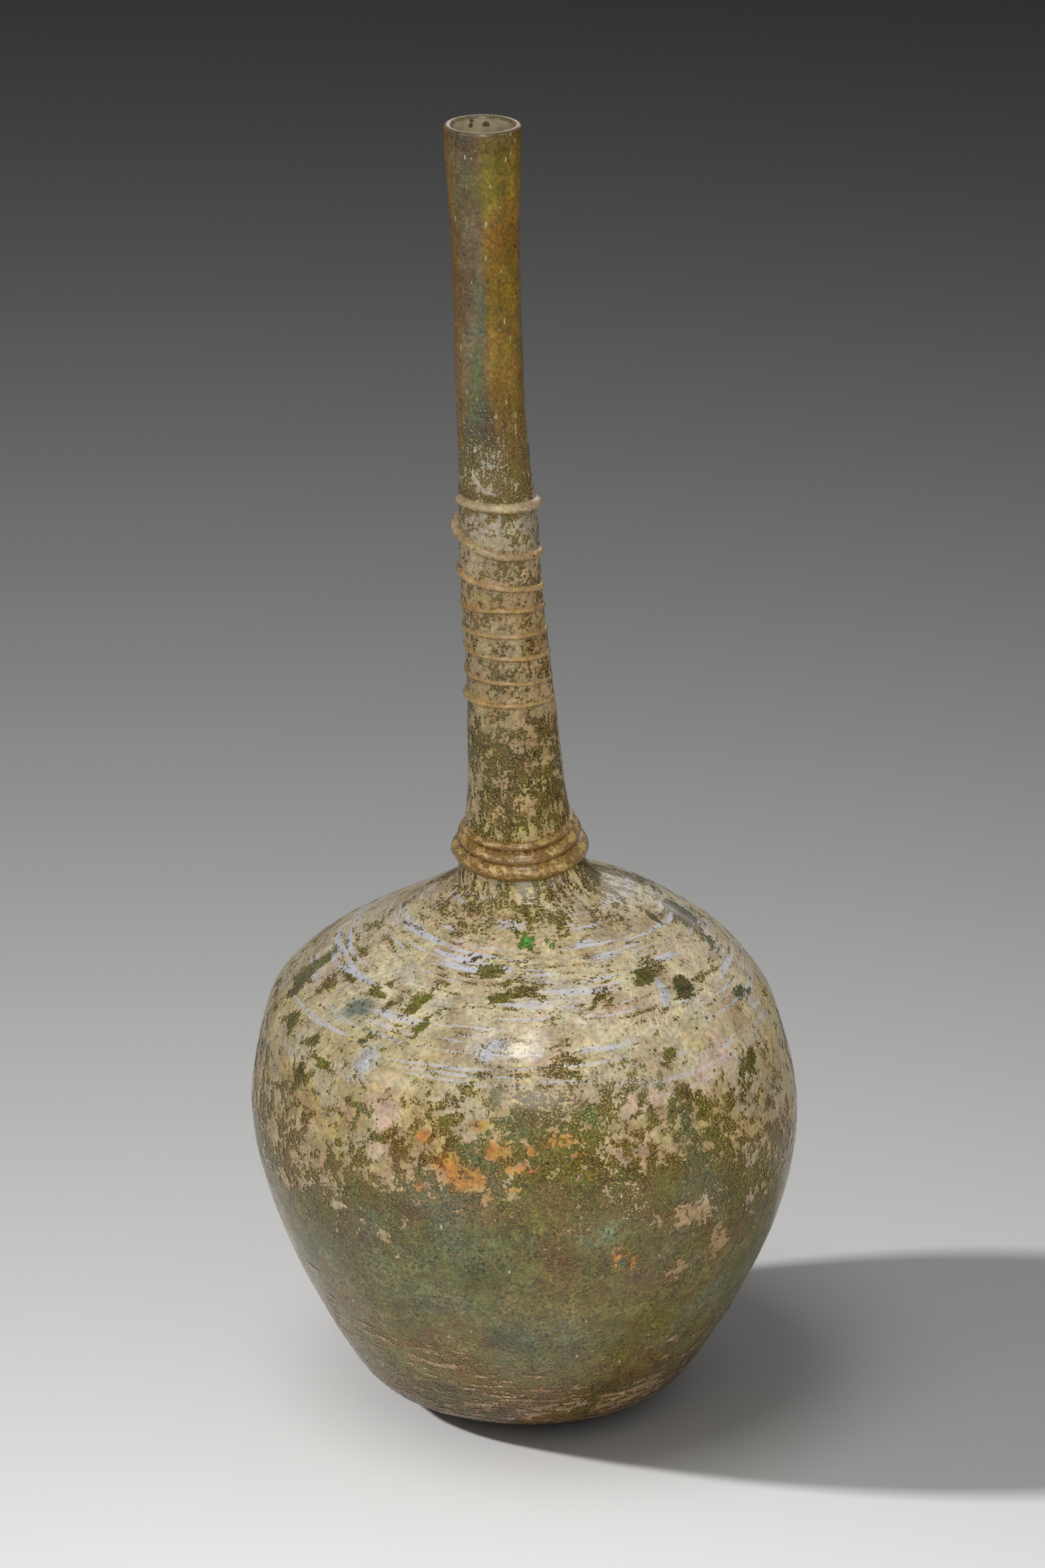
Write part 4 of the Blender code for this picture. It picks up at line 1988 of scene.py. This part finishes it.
@dataclass
class Thread(Rope):
    """The thread that winds down the middle of the neck and thins as it goes."""

    name: str = "neck_thread"
    start_turn: float = 0.06
    end_turn: float = 7.5
    bottom: float = 0.1579
    span: float = 0.0436
    thickness: float = 0.0017
    # Half the thread's own height: a share of thickness, and of how far it stands out.
    half_share: float = 0.22
    half_proud: float = 0.55
    # At the left, front, right and back of each turn: shares of span and of thickness.
    shares: tuple[tuple[float, float], ...] = (
        (1.000, 0.70),
        (0.985, 0.85),
        (0.966, 0.88),
        (0.906, 0.90),
        (0.846, 1.00),
        (0.752, 0.75),
        (0.720, 0.52),
        (0.678, 0.50),
        (0.635, 0.55),
        (0.592, 0.50),
        (0.550, 0.38),
        (0.508, 0.34),
        (0.466, 0.34),
        (0.478, 0.36),
        (0.450, 0.32),
        (0.400, 0.30),
        (0.351, 0.32),
        (0.350, 0.32),
        (0.335, 0.28),
        (0.296, 0.28),
        (0.257, 0.30),
        (0.238, 0.36),
        (0.220, 0.30),
        (0.177, 0.28),
        (0.133, 0.32),
        (0.116, 0.30),
        (0.092, 0.16),
        (0.050, 0.30),
        (0.007, 0.52),
        (0.004, 0.36),
        (0.000, 0.14),
    )

    def section(self, turn: float) -> tuple[float, float, float]:
        """Reads the sizes as in Rope, smoothly from the shares.

        Args:
            turn: Turns from the left of the neck.

        Returns:
            The three sizes.
        """
        up, thick = read_quarters(np.array(self.shares), turn)
        proud = thick * self.thickness
        half = self.half_share * self.thickness + self.half_proud * proud
        return self.bottom + up * self.span, proud, half


@dataclass
class Collar(Rope):
    """The collar at the foot of the neck: three coils, heavier on the way down."""

    name: str = "neck_collar"
    least_cover: float = 0.50
    # Nearly all the crust is gone under the coils: painted shade in the grooves between them.
    bared_below_as_shade: float = 0.95
    start_turn: float = 0.0
    end_turn: float = 3.0
    segments_a_turn: int = 110
    sides: int = 18
    bottom: float = 0.1227
    span: float = 0.0075
    top_thickness: float = 0.0007
    bottom_thickness: float = 0.0023
    half_share: float = 0.4
    half_proud: float = 0.9
    # Heights at the left, front, right and back of each coil, as shares of span.
    shares: tuple[float, ...] = (
        0.773,
        0.693,
        1.000,
        0.920,
        0.573,
        0.347,
        0.720,
        0.600,
        0.120,
        0.000,
        0.240,
        0.360,
        0.100,
    )

    def section(self, turn: float) -> tuple[float, float, float]:
        """Reads the sizes as in Rope, smoothly from the shares.

        Args:
            turn: Turns from the left of the neck.

        Returns:
            The three sizes.
        """
        up = read_quarters(np.array(self.shares), turn)
        heavier = turn / self.end_turn * (self.bottom_thickness - self.top_thickness)
        proud = self.top_thickness + heavier
        half = self.half_share * self.top_thickness + self.half_proud * proud
        return self.bottom + up * self.span, proud, half


# The set


@dataclass(frozen=True)
class Lamp:
    """A square soft light: its name, where it hangs, its side in metres and its watts."""

    name: str
    place: tuple[float, float, float]
    side: float
    watts: float

    def hang(self, aim: Vector) -> bpy.types.Object:
        """Hangs the light.

        Args:
            aim: What it faces.

        Returns:
            The light.
        """
        data = bpy.data.lights.new(self.name, "AREA")
        data.size = self.side
        data.energy = self.watts
        light = bpy.data.objects.new(self.name, data)
        light.location = self.place
        way = aim - Vector(self.place)
        light.rotation_euler = way.to_track_quat("-Z", "Y").to_euler()
        bpy.context.scene.collection.objects.link(light)
        return light


# The photo has a hard shadow on the floor under a softly lit bottle, so each has its own lights.
FLOOR_LAMPS: tuple[Lamp, ...] = (
    Lamp("key", (-3.10, -0.10, 2.12), 0.24, 164.0),
    Lamp("glow", (-0.36, -0.26, 1.85), 0.80, 9.0),
)
BOTTLE_LAMPS: tuple[Lamp, ...] = (
    Lamp("left", (-1.30, -0.80, 0.75), 0.60, 5.0),
    Lamp("right", (1.40, -0.70, 0.70), 0.60, 3.0),
    Lamp("front", (0.10, -1.70, 0.95), 0.90, 12.5),
    Lamp("back", (0.40, 2.20, 1.00), 1.20, 6.0),
    Lamp("overhead", (0.00, -0.55, 1.50), 0.30, 4.5),
)


@dataclass
class Studio:
    """The floor, the lights and the camera."""

    bottle: list[bpy.types.Object]
    floor_radius: float = 60.0
    aim: tuple[float, float, float] = (0.0, 0.0, 0.10)
    sky_strength: float = 0.28
    camera_place: tuple[float, float, float] = (0.00175, -1.250, 0.615)
    camera_down: float = 20.905
    camera_aside: float = -0.098
    lens: float = 146.6

    def floor(self) -> bpy.types.Object:
        """Lays the floor.

        Returns:
            The floor, marked as stage.
        """
        disc = bmesh.new()
        bmesh.ops.create_circle(disc, cap_ends=True, radius=self.floor_radius, segments=96)
        data = bpy.data.meshes.new("floor")
        disc.to_mesh(data)
        disc.free()
        data.materials.append(FloorWithPaintedLightPool().build())
        floor = bpy.data.objects.new("floor", data)
        bpy.context.scene.collection.objects.link(floor)
        floor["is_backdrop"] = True
        return floor

    def shine_only_on(
        self, name: str, lamps: tuple[Lamp, ...], lit: list[bpy.types.Object]
    ) -> None:
        """Hangs lights that reach only some objects, while all objects cast their shadows.

        Args:
            name: The name of the collection that holds the objects.
            lamps: The lights.
            lit: The objects.
        """
        held = bpy.data.collections.new(name)
        for piece in lit:
            held.objects.link(piece)
        for lamp in lamps:
            lamp.hang(Vector(self.aim)).light_linking.receiver_collection = held

    def sky(self) -> None:
        """Surrounds the set with an even white light."""
        world = bpy.data.worlds.new("studio")
        world.use_nodes = True
        sky = world.node_tree.nodes["Background"]
        sky.inputs["Color"].default_value = solid((1.0, 1.0, 1.0))
        sky.inputs["Strength"].default_value = self.sky_strength
        bpy.context.scene.world = world
        bpy.context.scene.view_settings.view_transform = "Standard"

    def camera(self) -> None:
        """Sets up the camera where the photograph was taken from."""
        data = bpy.data.cameras.new("camera")
        data.lens = self.lens
        camera = bpy.data.objects.new("camera", data)
        camera.location = self.camera_place
        down, aside = math.radians(self.camera_down), math.radians(self.camera_aside)
        level = math.cos(down)
        ahead = Vector((math.sin(aside) * level, math.cos(aside) * level, -math.sin(down)))
        camera.rotation_euler = ahead.to_track_quat("-Z", "Y").to_euler()
        bpy.context.scene.collection.objects.link(camera)
        bpy.context.scene.camera = camera

    def build(self) -> None:
        """Builds the whole set."""
        self.shine_only_on("lit_by_key", FLOOR_LAMPS, [self.floor()])
        self.shine_only_on("lit_by_fills", BOTTLE_LAMPS, self.bottle)
        self.sky()
        self.camera()
        LOG.info("studio: floor, lights and a camera")


def write_sizes() -> None:
    """Works out the box of the CAD part and that of the dressed one."""
    boxes = {"cad": CAD_BOX, "visual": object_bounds()}
    plain = {name: [list(corner) for corner in box] for name, box in boxes.items()}


def main() -> None:
    """Builds the bottle and its set."""
    logging.basicConfig(level=logging.INFO, format="%(name)s: %(message)s")
    form = BlownForm()
    shared = (form, Weathering(form), Effects())
    wall = Wall(*shared)
    pieces = (wall, Crust(*shared, wall=wall), Collar(*shared), Thread(*shared))
    Studio([piece.build() for piece in pieces]).build()
    write_sizes()


if __name__ == "__main__":
    main()
